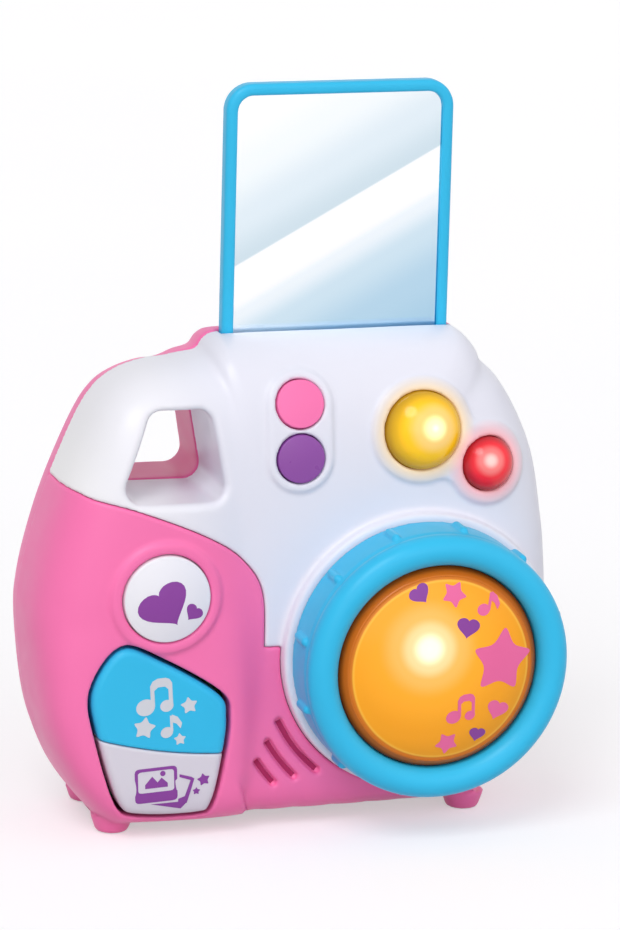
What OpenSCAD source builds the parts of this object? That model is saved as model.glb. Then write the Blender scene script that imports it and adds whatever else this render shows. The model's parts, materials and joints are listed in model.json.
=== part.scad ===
// Toy camera with a pull-up mirror, a turning lens ring, push buttons and a rocker key.
// Millimetres, +Z up, front towards -Y. The origin lies under the middle of the whole toy.

/* [Body] */
// Width of the body
body_w = 166.6; // [150:0.2:190]
// Height of the body with its feet, without the mirror
body_h = 152.5; // [140:0.5:175]
// Height of the feet
foot_h = 3; // [2:0.5:6]
// Radius of a foot where it stands
foot_r = 5; // [4:0.5:7]
// Depth from the parting plane to the front face
front_d = 31; // [29:0.5:38]
// Depth from the parting plane to the back
rear_d = 24; // [23.5:0.5:32]
// Wall thickness of the shells
wall = 2.4; // [1.8:0.1:2.8]
// How far the grip stands in front of the front face
grip_rise = 3.5; // [2:0.5:6]
// How far the grip stands out at its side
grip_side = 0.8; // [0.4:0.1:2]
// Gap in the seam between the white and the pink front shell
seam_gap = 0.2; // [0.1:0.05:0.4]

/* [Handle] */
// Corner radius of the finger hole
hole_r = 5; // [3:0.5:8]

/* [Lens] */
// Outer radius of the turning ring
ring_r = 41.6; // [40:0.2:45]
// Length of the ring
ring_d = 20.7; // [19:0.1:26]
// Width of the ring's face, from its outer edge in to the amber dome's flange
face_w = 9.8; // [9.1:0.1:10.6]
// Thickness of that flange
cap_t = 2; // [1.5:0.1:3]
// Width of the bevel round the amber dome
bevel_w = 3; // [1.8:0.1:4]
// Height of the bevel below the dome
bevel_h = 2.7; // [1.5:0.1:4]
// Height of the dome above its bevel
dome_h = 5.3; // [3:0.1:8]
// Wall of the amber dome
dome_wall = 1.8; // [1.2:0.1:2.4]
// Number of grip ribs on the ring
rib_count = 12; // [6:1:24]
// Thickness of a grip rib
rib_w = 2.4; // [1.6:0.1:3.2]
// Length of a grip rib
rib_l = 9.5; // [6:0.5:14]
// How far the collar reaches past the ring
collar_w = 2.4; // [1:0.1:4]
// How far the collar stands in front of the front face
collar_rise = 3.5; // [2:0.1:5]
// Thickness of the collar
collar_t = 6.5; // [5:0.1:8]
// Thickness of the ring over the bearing that it turns on
ring_wall = 7.6; // [5.6:0.1:8.1]
// Length of the bearing in front of the collar
bearing_l = 9.7; // [8:0.1:11]
// Length of the neck in front of the bearing
neck_l = 4.3; // [3.5:0.1:6]
// Running clearance of the ring, on the radius
run_gap = 0.1; // [0.05:0.01:0.1]
// End clearance of the ring
ring_gap = 0.3; // [0.2:0.05:0.5]
// Thickness of the barrel's flange
barrel_flange_t = 2.5; // [2:0.1:3.5]

/* [Mirror] */
// Width of the mirror
mirror_w = 72.6; // [60:0.2:76]
// Height of the mirror above the body when it is pulled up
mirror_up = 76.5; // [50:0.5:90]
// Thickness of the mirror
mirror_t = 6; // [5:0.2:7]
// How far the mirror's front lies before the parting plane
mirror_set = 4; // [3:0.2:5]
// Width of the frame's bars
mirror_bar = 3.6; // [3:0.1:5]
// Outer corner radius of the frame
mirror_corner = 8.5; // [6:0.5:12]
// Length that stays in the body when the mirror is up
mirror_tail = 14; // [10:0.5:18]
// How far the mirror goes down
mirror_travel = 74; // [40:0.5:74]
// Thickness of the mirror sheet
sheet_t = 1.4; // [1:0.1:2]
// Clearance of the mirror in its guide
slide_gap = 0.4; // [0.2:0.05:0.6]
// Thickness of the guide's plate
plate_t = 1.8; // [1.4:0.1:2.4]
// Thickness of the guide's rails
rail_t = 2; // [1.5:0.1:2.4]

/* [Buttons] */
// Radius of the heart button
heart_r = 13.5; // [11:0.1:15]
// Radius of the pink and purple buttons
dot_r = 7.4; // [6:0.1:8]
// Clearance round a button
button_gap = 0.35; // [0.25:0.05:0.5]
// Travel of the heart button
heart_travel = 2.5; // [1:0.1:3]
// Travel of a small button
dot_travel = 2; // [1:0.1:2.5]
// Height of the raised pads on the front
pad_rise = 1.2; // [0.6:0.1:2]

/* [Rocker] */
// Gap round the rocker
rocker_gap = 1.2; // [1:0.1:1.6]
// How far the keys stand out of the grip
key_rise = 0.5; // [0.2:0.1:1.5]
// Depth of the keys' flat backs
key_back = 26; // [25:0.5:27]
// Radius of the rocker's pin
pin_r = 1.5; // [1.2:0.1:2]
// Running clearance of the pin, on the radius
pin_gap = 0.05; // [0.02:0.01:0.1]
// Tilt of the line between the two keys
split_tilt = -9.5; // [-15:0.5:15]

/* [Lights] */
// Radius of the yellow flash dome
flash_r = 12; // [10:0.1:12.5]
// Height of the yellow dome above its pad
flash_h = 6.5; // [4:0.1:9]
// Radius of the red signal dome
signal_r = 8.3; // [6:0.1:9]
// Height of the red dome above its pad
signal_h = 4.8; // [3:0.1:7]
// Radius of a lamp
lamp_r = 2.5; // [1.5:0.1:3]
// Height of a lamp
lamp_h = 7; // [5:0.1:8]

/* [Speaker] */
// Radius of the speaker
speaker_r = 14; // [12:0.5:15]
// Depth of the speaker's rim
speaker_set = 24; // [23:0.1:24.5]
// Height of the speaker
speaker_h = 10; // [8:0.5:14]
// Width of a sound slot
slot_w = 2.4; // [1.5:0.1:3]
// Distance from slot to slot
slot_pitch = 6; // [5:0.1:7]

/* [Power] */
// Radius of a battery
cell_r = 7.25; // [5.25:0.05:7.5]
// Length of a battery
cell_l = 50.5; // [44:0.5:52]
// Wall of the battery bay
bay_wall = 1.6; // [1.2:0.1:2.4]
// Clearance in the battery bay
bay_gap = 0.3; // [0.2:0.05:0.5]
// Gap round the battery door
door_gap = 0.3; // [0.2:0.05:0.5]
// Travel of the switch knob to each side
knob_travel = 2.6; // [2:0.1:2.8]
// Width of the switch knob
knob_w = 4; // [3:0.1:5]

/* [Boards] */
// Thickness of the circuit boards
board_t = 1.6; // [1:0.1:2]
// Depth of the main board's front
main_set = 18; // [17:0.1:19]
// Depth of the key board's front
key_set = 17; // [16:0.1:17.5]
// Height of a contact dome
contact_h = 2; // [1.5:0.1:3]

/* [Fasteners] */
// Radius of a screw's shank
screw_r = 1.5; // [1.2:0.05:1.6]
// Radius of a screw's head
head_r = 2.8; // [2.2:0.1:3]
// Thickness of a screw's head
head_t = 1.6; // [1.2:0.1:2]
// Clearance of a screw in its hole
screw_gap = 0.1; // [0.05:0.01:0.2]

/* [Hidden] */
$fn = 48;

// Colours
white_plastic = "#f4f1f7";
pink_plastic = "#ff74b8";
blue_plastic = "#3db8e8";
purple_plastic = "#8d3fa8";
amber_plastic = "#ffab1f";
yellow_plastic = "#ffc928";
red_plastic = "#ee2f3c";
steel = "#b9bcc2";
board_green = "#2f7d4f";
rubber = "#d9d4cf";
dark = "#34343a";

// Cuts run past the faces that they open
overrun = 1;
// Depth that is in front of every piece
far = front_d + grip_rise + ring_d + dome_h + collar_rise;

// Body outline, as shares of the half width and of the shell's height, anticlockwise from the lower right
right_line_shares = [
    [0.624, 0], [0.72, 0.008], [0.816, 0.06], [0.906, 0.144], [0.966, 0.247], [1, 0.41],
    [0.99, 0.54], [0.971, 0.622], [0.936, 0.732], [0.879, 0.817], [0.8, 0.893]
];
hump_line_shares = [
    [0.726, 0.935], [0.699, 0.965], [0.642, 0.994], [0.552, 1], [0.16, 1],
    [-0.228, 1], [-0.307, 0.99], [-0.341, 0.967], [-0.403, 0.957]
];
left_line_shares = [
    [-0.471, 0.9425], [-0.546, 0.938], [-0.637, 0.922], [-0.715, 0.893], [-0.786, 0.835],
    [-0.885, 0.709], [-0.948, 0.602], [-0.99, 0.5], [-1, 0.41], [-0.966, 0.247],
    [-0.906, 0.144], [-0.816, 0.06], [-0.72, 0.008], [-0.624, 0]
];
// Inner edge of the grip, from the bottom up
fold_line_shares = [
    [-0.21, 0], [-0.198, 0.03], [-0.18, 0.18], [-0.163, 0.335], [-0.154, 0.42], [-0.175, 0.495],
    [-0.21, 0.602], [-0.253, 0.729], [-0.304, 0.856], [-0.336, 0.906], [-0.4, 0.937]
];
// Seam between the white and the pink front shell, from the side to the lens
seam_line_shares = [
    [-1.1, 0.714], [-0.886, 0.714], [-0.805, 0.703], [-0.67, 0.684], [-0.457, 0.638], [-0.301, 0.591],
    [-0.2125, 0.5445], [-0.172, 0.5057], [-0.157, 0.463], [-0.1537, 0.41]
];
seam_level_share = 0.376;
// Rocker outline
rocker_line_shares = [
    [-0.551, 0.363], [-0.707, 0.395], [-0.813, 0.31], [-0.788, 0.206], [-0.706, 0.067],
    [-0.617, 0.037], [-0.403, 0.033], [-0.355, 0.054], [-0.316, 0.162], [-0.304, 0.237], [-0.336, 0.288]
];
// Corner centres of the finger hole
hole_corner_shares = [[-0.632, 0.726], [-0.378, 0.724], [-0.418, 0.843], [-0.548, 0.843]];

// Places on the front, as shares of the half width and of the shell's height
mid_share = [0, 0.48];
grip_mid_share = [-0.56, 0.46];
lens_share = [0.437, 0.3545];
heart_share = [-0.545, 0.5];
pink_share = [-0.034, 0.881];
purple_share = [-0.034, 0.771];
flash_share = [0.4334, 0.818];
signal_share = [0.6927, 0.7405];
speaker_share = [-0.066, 0.144];
rocker_share = [-0.555, 0.187];
mirror_share = 0.1885;
foot_share = [0.684, 0.58];
white_screw_shares = [[0.876, 0.582], [0.738, 0.85], [-0.402, 0.9177]];
pink_screw_shares = [[-0.804, 0.09], [0.708, 0.0635], [-0.864, 0.462]];
main_post_shares = [[0.168, 0.716], [0.168, 0.896], [0.516, 0.696], [0.612, 0.853]];
key_post_shares = [[-0.708, 0.615], [-0.312, 0.548], [-0.294, 0.067]];
main_board_shares = [
    [-0.144, 0.6756], [0.768, 0.6756], [0.768, 0.756], [0.672, 0.823],
    [0.66, 0.876], [0.552, 0.9164], [-0.144, 0.9164]
];
key_board_shares = [[-0.744, 0.047], [-0.264, 0.642]];
rocker_contact_shares = [0.094, 0.314];
bay_share = 0.171;
knob_share = [0.53, 0.167];
left_ear_share = 0.448;
right_ear_shares = [0.448, 0.702];

// How square the edge of the body is towards its sides, its top and its bottom
body_powers = [9, 4.5, 16];
grip_powers = [4.5, 4.5, 16];
rear_powers = [5, 5, 10];
front_bulge = 3.5;
rear_bulge = 3;
// Levels of the rounded edge, as shares of the depth
level_shares = [0.3, 0.52, 0.7, 0.83, 0.92, 0.98];
cavity_level_shares = [0.45, 0.75, 0.93, 0.99];

half_w = body_w / 2;
shell_h = body_h - foot_h;
grip_d = front_d + grip_rise;
function place(share) = [share.x * half_w, foot_h + share.y * shell_h];
function places(shares) = [for (s = shares) place(s)];

// Smooth curve through points
function between(a, b, c, d, t) =
    b + t / 2 * (c - a + t * (2 * a - 5 * b + 4 * c - d + t * (3 * (b - c) + d - a)));
line_steps = 2;
function smooth_loop(p) = let (n = len(p)) [
    for (i = [0:n - 1])
        for (k = [0:line_steps - 1])
            between(p[(i + n - 1) % n], p[i], p[(i + 1) % n], p[(i + 2) % n], k / line_steps)
];
function smooth_run(p) = let (n = len(p)) concat([
    for (i = [0:n - 2])
        for (k = [0:line_steps - 1])
            between(p[max(i - 1, 0)], p[i], p[i + 1], p[min(i + 2, n - 1)], k / line_steps)
], [p[n - 1]]);
// Loop moved outwards by a width, where half holds its half sizes
function grown(line, mid, half, width) = [
    for (p = line) mid + [(p.x - mid.x) * (1 + width / half.x), (p.y - mid.y) * (1 + width / half.y)]
];
function half_sizes(line) = [
    (max([for (p = line) p.x]) - min([for (p = line) p.x])) / 2,
    (max([for (p = line) p.y]) - min([for (p = line) p.y])) / 2
];

body_mid = place(mid_share);
body_points = places(concat(right_line_shares, hump_line_shares, left_line_shares));
body_line = smooth_loop(body_points);
body_half = half_sizes(body_line);
grip_mid = place(grip_mid_share);
grip_points = places(concat(fold_line_shares, left_line_shares));
grip_line = smooth_loop(grip_points);
grip_half = half_sizes(grip_line);
rocker_mid = place(rocker_share);
rocker_line = smooth_loop(places(rocker_line_shares));

// The heart button stays above the rocker's opening
heart_clear = rocker_gap + heart_r + button_gap + wall / 4;
heart_at = [
    place(heart_share).x, max(place(heart_share).y, max([for (p = rocker_line) p.y]) + heart_clear)
];
rocker_half = half_sizes(rocker_line);
seam_line = smooth_run(places(seam_line_shares));

// Rounded form over a loop: the edge falls away by a power that changes with the direction
function edge_power(p, mid, powers) =
    let (rise = (p - mid).y / norm(p - mid))
    powers[0] + (powers[rise > 0 ? 1 : 2] - powers[0]) * rise * rise;
function drawn_in(p, mid, level, powers, bulge) =
    mid + pow(1 - pow(level, bulge), 1 / edge_power(p, mid, powers)) * (p - mid);
module rounded_form(line, mid, depth, powers, bulge, levels, skirt) {
    n = len(line);
    foot_ring = [for (p = line) [p.x, p.y, -skirt]];
    rings = [
        for (level = levels)
            for (p = line)
                let (q = drawn_in(p, mid, level, powers, bulge)) [q.x, q.y, level * depth]
    ];
    top = n * (len(levels) + 1);
    sides = [
        for (j = [0:len(levels) - 1])
            for (i = [0:n - 1])
                let (a = j * n + i, b = j * n + (i + 1) % n)
                each [[a, a + n, b + n], [a, b + n, b]]
    ];
    crown = [for (i = [0:n - 1]) [top - n + i, top, top - n + (i + 1) % n]];
    base = [[for (i = [0:n - 1]) i]];
    polyhedron(concat(foot_ring, rings, [[mid.x, mid.y, depth]]), concat(base, sides, crown));
}

// Depth of the front or rear face at a place
function reach_share(line, mid, p) = max([
    for (i = [0:len(line) - 1])
        let (
            a = line[i] - mid, b = line[(i + 1) % len(line)] - mid, d = p - mid,
            den = cross(d, b - a), t = cross(a, b - a) / den, k = cross(a, d) / den
        )
        t > 0 && k >= 0 && k <= 1 ? 1 / t : 0
]);
function form_depth(line, mid, depth, powers, bulge, p) =
    depth * pow(1 - pow(reach_share(line, mid, p), edge_power(p, mid, powers)), 1 / bulge);
function front_depth(p) = form_depth(body_line, body_mid, front_d, body_powers, front_bulge, p);
function grip_depth(p) = form_depth(grip_line, grip_mid, grip_d, grip_powers, front_bulge, p);
function rear_depth(p) = form_depth(body_line, body_mid, rear_d, rear_powers, rear_bulge, p);
function rear_inside(p) =
    form_depth(grown(body_points, body_mid, body_half, -wall), body_mid, rear_d - wall, rear_powers, rear_bulge, p);

// Slope of the front face at a place, and how far its normal tilts up and turns to the side
function face_slope(p) = [
    for (step = [[overrun, 0], [0, overrun]]) (front_depth(p + step) - front_depth(p - step)) / (2 * overrun)
];
function face_turn(p) = atan(-face_slope(p).x);
function face_tilt(p) = atan(-face_slope(p).y * cos(face_turn(p)));

// Lens stations, measured forward from the parting plane
lens_at = place(lens_share);
cap_r = ring_r - face_w;
dome_r = cap_r - bevel_w;
bearing_r = ring_r - ring_wall;
collar_front = front_depth(lens_at) + collar_rise;
collar_r = ring_r + collar_w;
barrel_seat = collar_front - collar_t;
shoulder = collar_front + bearing_l;
neck_end = shoulder + neck_l;
neck_wall = 2;
neck_r = cap_r - neck_wall;
ring_front = collar_front + ring_gap + ring_d;
cap_front = neck_end + cap_t + bevel_h + dome_h;
barrel_bore = neck_r - neck_wall;
ledge_w = 1;
recess_w = 4;
recess_l = 4;
recess_r = bearing_r + recess_w;
flange_w = 6.5;
flange_r = bearing_r + flange_w;
flange_rear = barrel_seat - barrel_flange_t;
barrel_screw_in = 3.6;
barrel_screw_l = 7.5;
barrel_screw_count = 4;
skirt_l = 4;
reflector_rim = 1.5;
ledge = neck_end - skirt_l - reflector_rim - overrun;
collar_low = 12;

// Mirror stations
mirror_x = mirror_share * half_w;
mirror_low = body_h - mirror_tail;
mirror_rear = mirror_t - mirror_set;
bezel_t = 1.6;
sheet_gap = 0.15;
stop_t = 1.5;
stop_h = 3.6;
plate_front = mirror_rear + slide_gap;
plate_back = plate_front + plate_t;
plate_low = mirror_low - mirror_travel - slide_gap;

// Rocker stations
pivot_at = place(rocker_share);
carrier_t = 2;
lug_r = 2.8;
lug_w = 4;
pivot_depth = key_back - carrier_t - lug_r + slide_gap;
pin_boss_r = 3.2;
pin_boss_w = 3.2;
pin_x0 = pivot_at.x - rocker_half.x - rocker_gap - pin_boss_w;
pin_x1 = pivot_at.x + rocker_half.x + rocker_gap + pin_boss_w;
rocker_stroke = 1.8;

// Battery bay, behind the parting plane
contact_t = 0.5;
spring_l = 5;
bay_l = cell_l + spring_l + 2 * (contact_t + bay_gap);
bay_h = 4 * cell_r + 3 * bay_gap;
// The bay keeps its height over the floor
bay_rise = 8;
bay_z = max(place([0, bay_share]).y, foot_h + wall + bay_h / 2 + bay_rise);
cell_step = cell_r + bay_gap / 2;
// A cell keeps clear of the rear wall all round its back
cell_turns = [-75, -45, -15, 15, 45, 75];
cell_y = min(
    rear_depth([0, bay_z - cell_step]) - wall - 3 * bay_gap - cell_r,
    min([
        for (x = [0, cell_l / 2])
            for (side = [-1, 1])
                for (a = cell_turns)
                    rear_inside([x, bay_z + side * cell_step + cell_r * sin(a)]) - cell_r * cos(a) - seam_gap
    ])
);
bay_front = cell_y - cell_r - bay_gap;
door_ear_r = 5;
door_ear_at = [0, bay_z + bay_h / 2 + bay_wall + door_ear_r - door_gap];
door_ear_y = rear_depth(door_ear_at) - wall;
door_screw_l = 9;

// Power switch, on the rear wall
switch_ear = 9.6;
switch_ear_r = 3.4;
knob_plate_t = 1.4;
wall_sag = 1.2;
// The switch stands clear of the battery bay
knob_clear = bay_l / 2 + bay_wall + slide_gap + switch_ear + switch_ear_r;
knob_at = [max(place(knob_share).x, knob_clear), place(knob_share).y];
switch_corners = [
    for (side = [-1, 1])
        for (up = [-1, 1]) knob_at + [side * (switch_ear + switch_ear_r), up * switch_ear_r]
];
switch_seat = min(
    rear_depth(knob_at) - wall - wall_sag - knob_plate_t - slide_gap,
    min([for (at = switch_corners) rear_inside(at)]) - seam_gap
);
switch_screw_l = 2;

// The parting plane lies behind the origin, so that the whole toy is centred over it
parting_y = (cap_front - rear_d) / 2;
toy_x = grip_side / 2;
module placed() {
    translate([toy_x, parting_y, 0]) children();
}
// Extrudes a drawing of the X-Z plane from y0 to y1
module along_y(y0, y1) {
    translate([0, y1, 0]) rotate([90, 0, 0]) linear_extrude(y1 - y0) children();
}
// Turns a local +Z to the front, or to the back
module forward(at, depth = 0) {
    translate([at.x, -depth, at.y]) rotate([90, 0, 0]) children();
}
module backward(at, y = 0) {
    translate([at.x, y, at.y]) rotate([-90, 0, 0]) children();
}
module disc(r, z0, z1, sides = $fn) {
    translate([0, 0, z0]) cylinder(r = r, h = z1 - z0, $fn = sides);
}

module body_form(grow) {
    rotate([90, 0, 0])
        rounded_form(grown(body_line, body_mid, body_half, grow), body_mid, front_d + grow,
            body_powers, front_bulge, level_shares, 0);
}
module grip_form(grow) {
    rotate([90, 0, 0])
        rounded_form(grown(grip_line, grip_mid, grip_half, grow + grip_side), grip_mid, grip_d + grow,
            grip_powers, front_bulge, level_shares, 0);
}
module front_form(grow) {
    body_form(grow);
    grip_form(grow);
}
module rear_form(grow) {
    mirror([0, 1, 0]) rotate([90, 0, 0])
        rounded_form(grown(body_line, body_mid, body_half, grow), body_mid, rear_d + grow,
            rear_powers, rear_bulge, level_shares, 0);
}
// Hollow inside the shells, a wall's thickness in from their faces
module front_cavity() {
    rotate([90, 0, 0]) {
        rounded_form(grown(body_points, body_mid, body_half, -wall), body_mid, front_d - wall,
            body_powers, front_bulge, cavity_level_shares, overrun);
        rounded_form(grown(grip_points, grip_mid, grip_half, grip_side - wall), grip_mid, grip_d - wall,
            grip_powers, front_bulge, cavity_level_shares, overrun);
    }
}
module rear_cavity() {
    mirror([0, 1, 0]) rotate([90, 0, 0])
        rounded_form(grown(body_points, body_mid, body_half, -wall), body_mid, rear_d - wall,
            rear_powers, rear_bulge, cavity_level_shares, overrun);
}

// Drawings of the X-Z plane
module seam_area(drop, lens_r) {
    level = place([0, seam_level_share]).y;
    translate([0, -drop])
        polygon(concat(seam_line, [[seam_line[len(seam_line) - 1].x, level], [body_w, level],
            [body_w, body_h + wall], [-body_w, body_h + wall]]));
    translate(lens_at) circle(lens_r);
}
module hole_area(grow) {
    hull() for (c = places(hole_corner_shares)) translate(c) circle(hole_r + grow, $fn = 32);
}
module dot_pad_area() {
    pad_w = 3;
    hull() for (s = [pink_share, purple_share]) translate(place(s)) circle(dot_r + pad_w, $fn = 32);
}
module light_pad_area() {
    pad_w = 4.3;
    translate(place(flash_share)) circle(flash_r + pad_w);
    translate(place(signal_share)) circle(signal_r + pad_w);
}
module heart_pad_area() {
    pad_w = 3.9;
    translate(heart_at) circle(heart_r + pad_w);
}
module mirror_slot(y0, y1) {
    w = mirror_w + 2 * slide_gap;
    translate([mirror_x - w / 2, y0, mirror_low]) cube([w, y1 - y0, mirror_tail + overrun]);
}

// Moulded posts with draft, from the front or the rear wall inwards
draft = 0.5;
head_gap = 0.4;
post_fn = 20;
bore_fn = 16;
post_r = 2.6;
module front_post(at, r, depth) {
    hull() {
        forward(at, depth) cylinder(r = r, h = wall, $fn = post_fn);
        forward(at, grip_d) cylinder(r = r + draft, h = wall, $fn = post_fn);
    }
}
module rear_post(at, r, y) {
    hull() {
        backward(at, y) cylinder(r = r, h = wall, $fn = post_fn);
        backward(at, rear_d) cylinder(r = r + draft, h = wall, $fn = post_fn);
    }
}
module foot(side, y) {
    flare = 1;
    translate([side * foot_share.x * half_w, y, 0]) hull() {
        cylinder(r = foot_r, h = wall / 2, $fn = post_fn);
        translate([0, 0, foot_h]) cylinder(r = foot_r + flare, h = wall / 2, $fn = post_fn);
    }
}

// Screw with the underside of its head at zero and its shank towards -Z
module screw(length) {
    disc(head_r, 0, head_t);
    disc(screw_r, -length, head_t / 2);
}
// Bore for a screw that enters at zero and goes towards +Z
module screw_bore(length) {
    disc(screw_r + screw_gap, -overrun, length + overrun, bore_fn);
}
// Ears of the mirror's guide, on its plate
ear_r = 4.2;
guide_half = mirror_w / 2 + slide_gap + rail_t;
ear_out = guide_half + head_r + head_gap;
function ear_z(share) = max(place([0, share]).y, plate_low - rail_t + ear_r);
ear_places = concat(
    [[mirror_x - ear_out, ear_z(left_ear_share)]],
    [for (s = right_ear_shares) [mirror_x + ear_out, ear_z(s)]]
);
case_post_r = 4;
rear_post_r = 5;
head_seat = 8;
case_screw_l = 19;
// White case screws stand beside the mirror's guide
guide_clear = guide_half + rear_post_r + head_gap;
function beside_guide(at) = [
    at.x > mirror_x ? max(at.x, mirror_x + guide_clear) : min(at.x, mirror_x - guide_clear), at.y
];
white_screw_places = [for (at = places(white_screw_shares)) beside_guide(at)];
case_screw_places = concat(white_screw_places, places(pink_screw_shares));
board_screw_l = 6;
rim_t = 1.2;
speaker_post_r = 2.2;
speaker_screw_in = speaker_post_r + slide_gap;
// The speaker's top screw stands clear of the lens barrel's flange
speaker_drop = lens_at.y - place(speaker_share).y - speaker_r - speaker_screw_in;
speaker_clear = sqrt(max(0, pow(flange_r + head_r + seam_gap, 2) - pow(speaker_drop, 2)));
speaker_at = [min(place(speaker_share).x, lens_at.x - speaker_clear), place(speaker_share).y];
speaker_screw_turns = [90, 200, 320];
speaker_screw_l = 4.5;
speaker_screw_places = [
    for (a = speaker_screw_turns) speaker_at + (speaker_r + speaker_screw_in) * [cos(a), sin(a)]
];
module barrel_screw_places() {
    for (k = [0:barrel_screw_count - 1])
        forward(lens_at) rotate(k * 360 / barrel_screw_count)
            translate([bearing_r + barrel_screw_in, 0, flange_rear]) children();
}

// Places of the buttons and lights, with +Z out of the face
module on_heart() {
    forward(heart_at, grip_depth(heart_at)) children();
}
module on_face(share) {
    at = place(share);
    translate([at.x, -front_depth(at), at.y]) rotate([90 - face_tilt(at), 0, face_turn(at)]) children();
}
// Depth of a button's hole through the wall, to each side of the face
hole_l = 8;
// Flange of a button or light: how far it lies behind the wall, its width and its gap to its seat
seat_gap = 0.8;
flange_gap = 0.3;
flange_top = -wall - seat_gap;
cap_flange_w = 1.5;
dome_flange_w = 1;
dot_shares = [pink_share, purple_share];
// Hole through the wall with a flat seat for the flange inside
module seated_hole(r, flange) {
    disc(r + button_gap, -hole_l, hole_l);
    disc(r + flange + button_gap, -hole_l, flange_top + flange_gap);
}

module front_shell() {
    color(white_plastic) placed() difference() {
        union() {
            intersection() {
                union() {
                    difference() {
                        union() {
                            front_form(0);
                            intersection() {
                                body_form(pad_rise);
                                along_y(-far, 0) {
                                    dot_pad_area();
                                    light_pad_area();
                                }
                            }
                        }
                        front_cavity();
                    }
                    intersection() {
                        front_form(-wall / 2);
                        union() {
                            along_y(-far, 0) hole_area(wall);
                            for (at = white_screw_places) front_post(at, case_post_r, 0);
                            for (at = places(main_post_shares)) front_post(at, post_r, main_set);
                        }
                    }
                }
                along_y(-far, 0) seam_area(0, collar_r - wall);
            }
            difference() {
                forward(lens_at) disc(collar_r, collar_low, collar_front);
                intersection() {
                    front_cavity();
                    forward(lens_at) disc(collar_r + overrun, 0, barrel_seat);
                }
            }
        }
        along_y(-far, overrun) hole_area(0);
        forward(lens_at) {
            disc(bearing_r + screw_gap, 0, far);
            disc(flange_r + head_gap, 0, barrel_seat);
        }
        mirror_slot(-mirror_set - slide_gap, overrun);
        for (s = dot_shares) on_face(s) seated_hole(dot_r, cap_flange_w);
        on_face(flash_share) seated_hole(flash_r, dome_flange_w);
        on_face(signal_share) seated_hole(signal_r, dome_flange_w);
        for (at = white_screw_places) forward(at) screw_bore(case_screw_l - head_seat);
        for (at = places(main_post_shares)) forward(at, main_set) screw_bore(board_screw_l - board_t);
        barrel_screw_places() screw_bore(barrel_screw_l);
    }
}

slot_turn = 217.5;
slot_spans = [24.4, 15.2, 8.8];
slot_steps = 3;
seat_w = 2;
module sound_slots() {
    first_r = collar_r + slot_pitch - slot_w / 2;
    forward(lens_at) linear_extrude(far)
        for (i = [0:len(slot_spans) - 1])
            for (k = [0:slot_steps - 1])
                hull()
                    for (e = [k, k + 1])
                        rotate(slot_turn + slot_spans[i] * (e / slot_steps - 1 / 2))
                            translate([first_r + i * slot_pitch, 0]) circle(slot_w / 2, $fn = post_fn);
}
module rocker_axis(x0, x1, r) {
    translate([x0, -pivot_depth, pivot_at.y]) rotate([0, 90, 0]) cylinder(r = r, h = x1 - x0);
}
module pin_bosses() {
    for (x = [pin_x0, pin_x1 - pin_boss_w])
        hull()
            for (depth = [pivot_depth, grip_d])
                translate([x, -depth, pivot_at.y]) rotate([0, 90, 0])
                    cylinder(r = pin_boss_r, h = pin_boss_w, $fn = post_fn);
}
module lower_front_shell() {
    color(pink_plastic) placed() difference() {
        union() {
            difference() {
                union() {
                    difference() {
                        union() {
                            front_form(0);
                            intersection() {
                                grip_form(pad_rise);
                                along_y(-far, 0) heart_pad_area();
                            }
                        }
                        front_cavity();
                    }
                    intersection() {
                        front_form(-wall / 2);
                        union() {
                            for (at = places(pink_screw_shares)) front_post(at, case_post_r, 0);
                            for (at = places(key_post_shares)) front_post(at, post_r, key_set);
                            for (at = speaker_screw_places)
                                front_post(at, speaker_post_r, speaker_set - rim_t);
                            forward(speaker_at) disc(speaker_r + seat_w / 2, speaker_set, far);
                            pin_bosses();
                        }
                    }
                }
                along_y(-far, overrun) seam_area(seam_gap, collar_r + seam_gap);
            }
            for (side = [-1, 1]) foot(side, -foot_share.y * front_d);
        }
        forward(speaker_at) disc(speaker_r - seat_w, 0, front_depth(speaker_at) - wall);
        sound_slots();
        along_y(-far, -key_set) polygon(grown(rocker_line, rocker_mid, rocker_half, rocker_gap));
        on_heart() seated_hole(heart_r, cap_flange_w);
        rocker_axis(pin_x0 - overrun, pin_x1 + overrun, pin_r + screw_gap);
        for (at = places(pink_screw_shares)) forward(at) screw_bore(case_screw_l - head_seat);
        for (at = places(key_post_shares)) forward(at, key_set) screw_bore(board_screw_l - board_t);
        for (at = speaker_screw_places) forward(at, speaker_set - rim_t) screw_bore(speaker_screw_l);
    }
}

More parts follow.
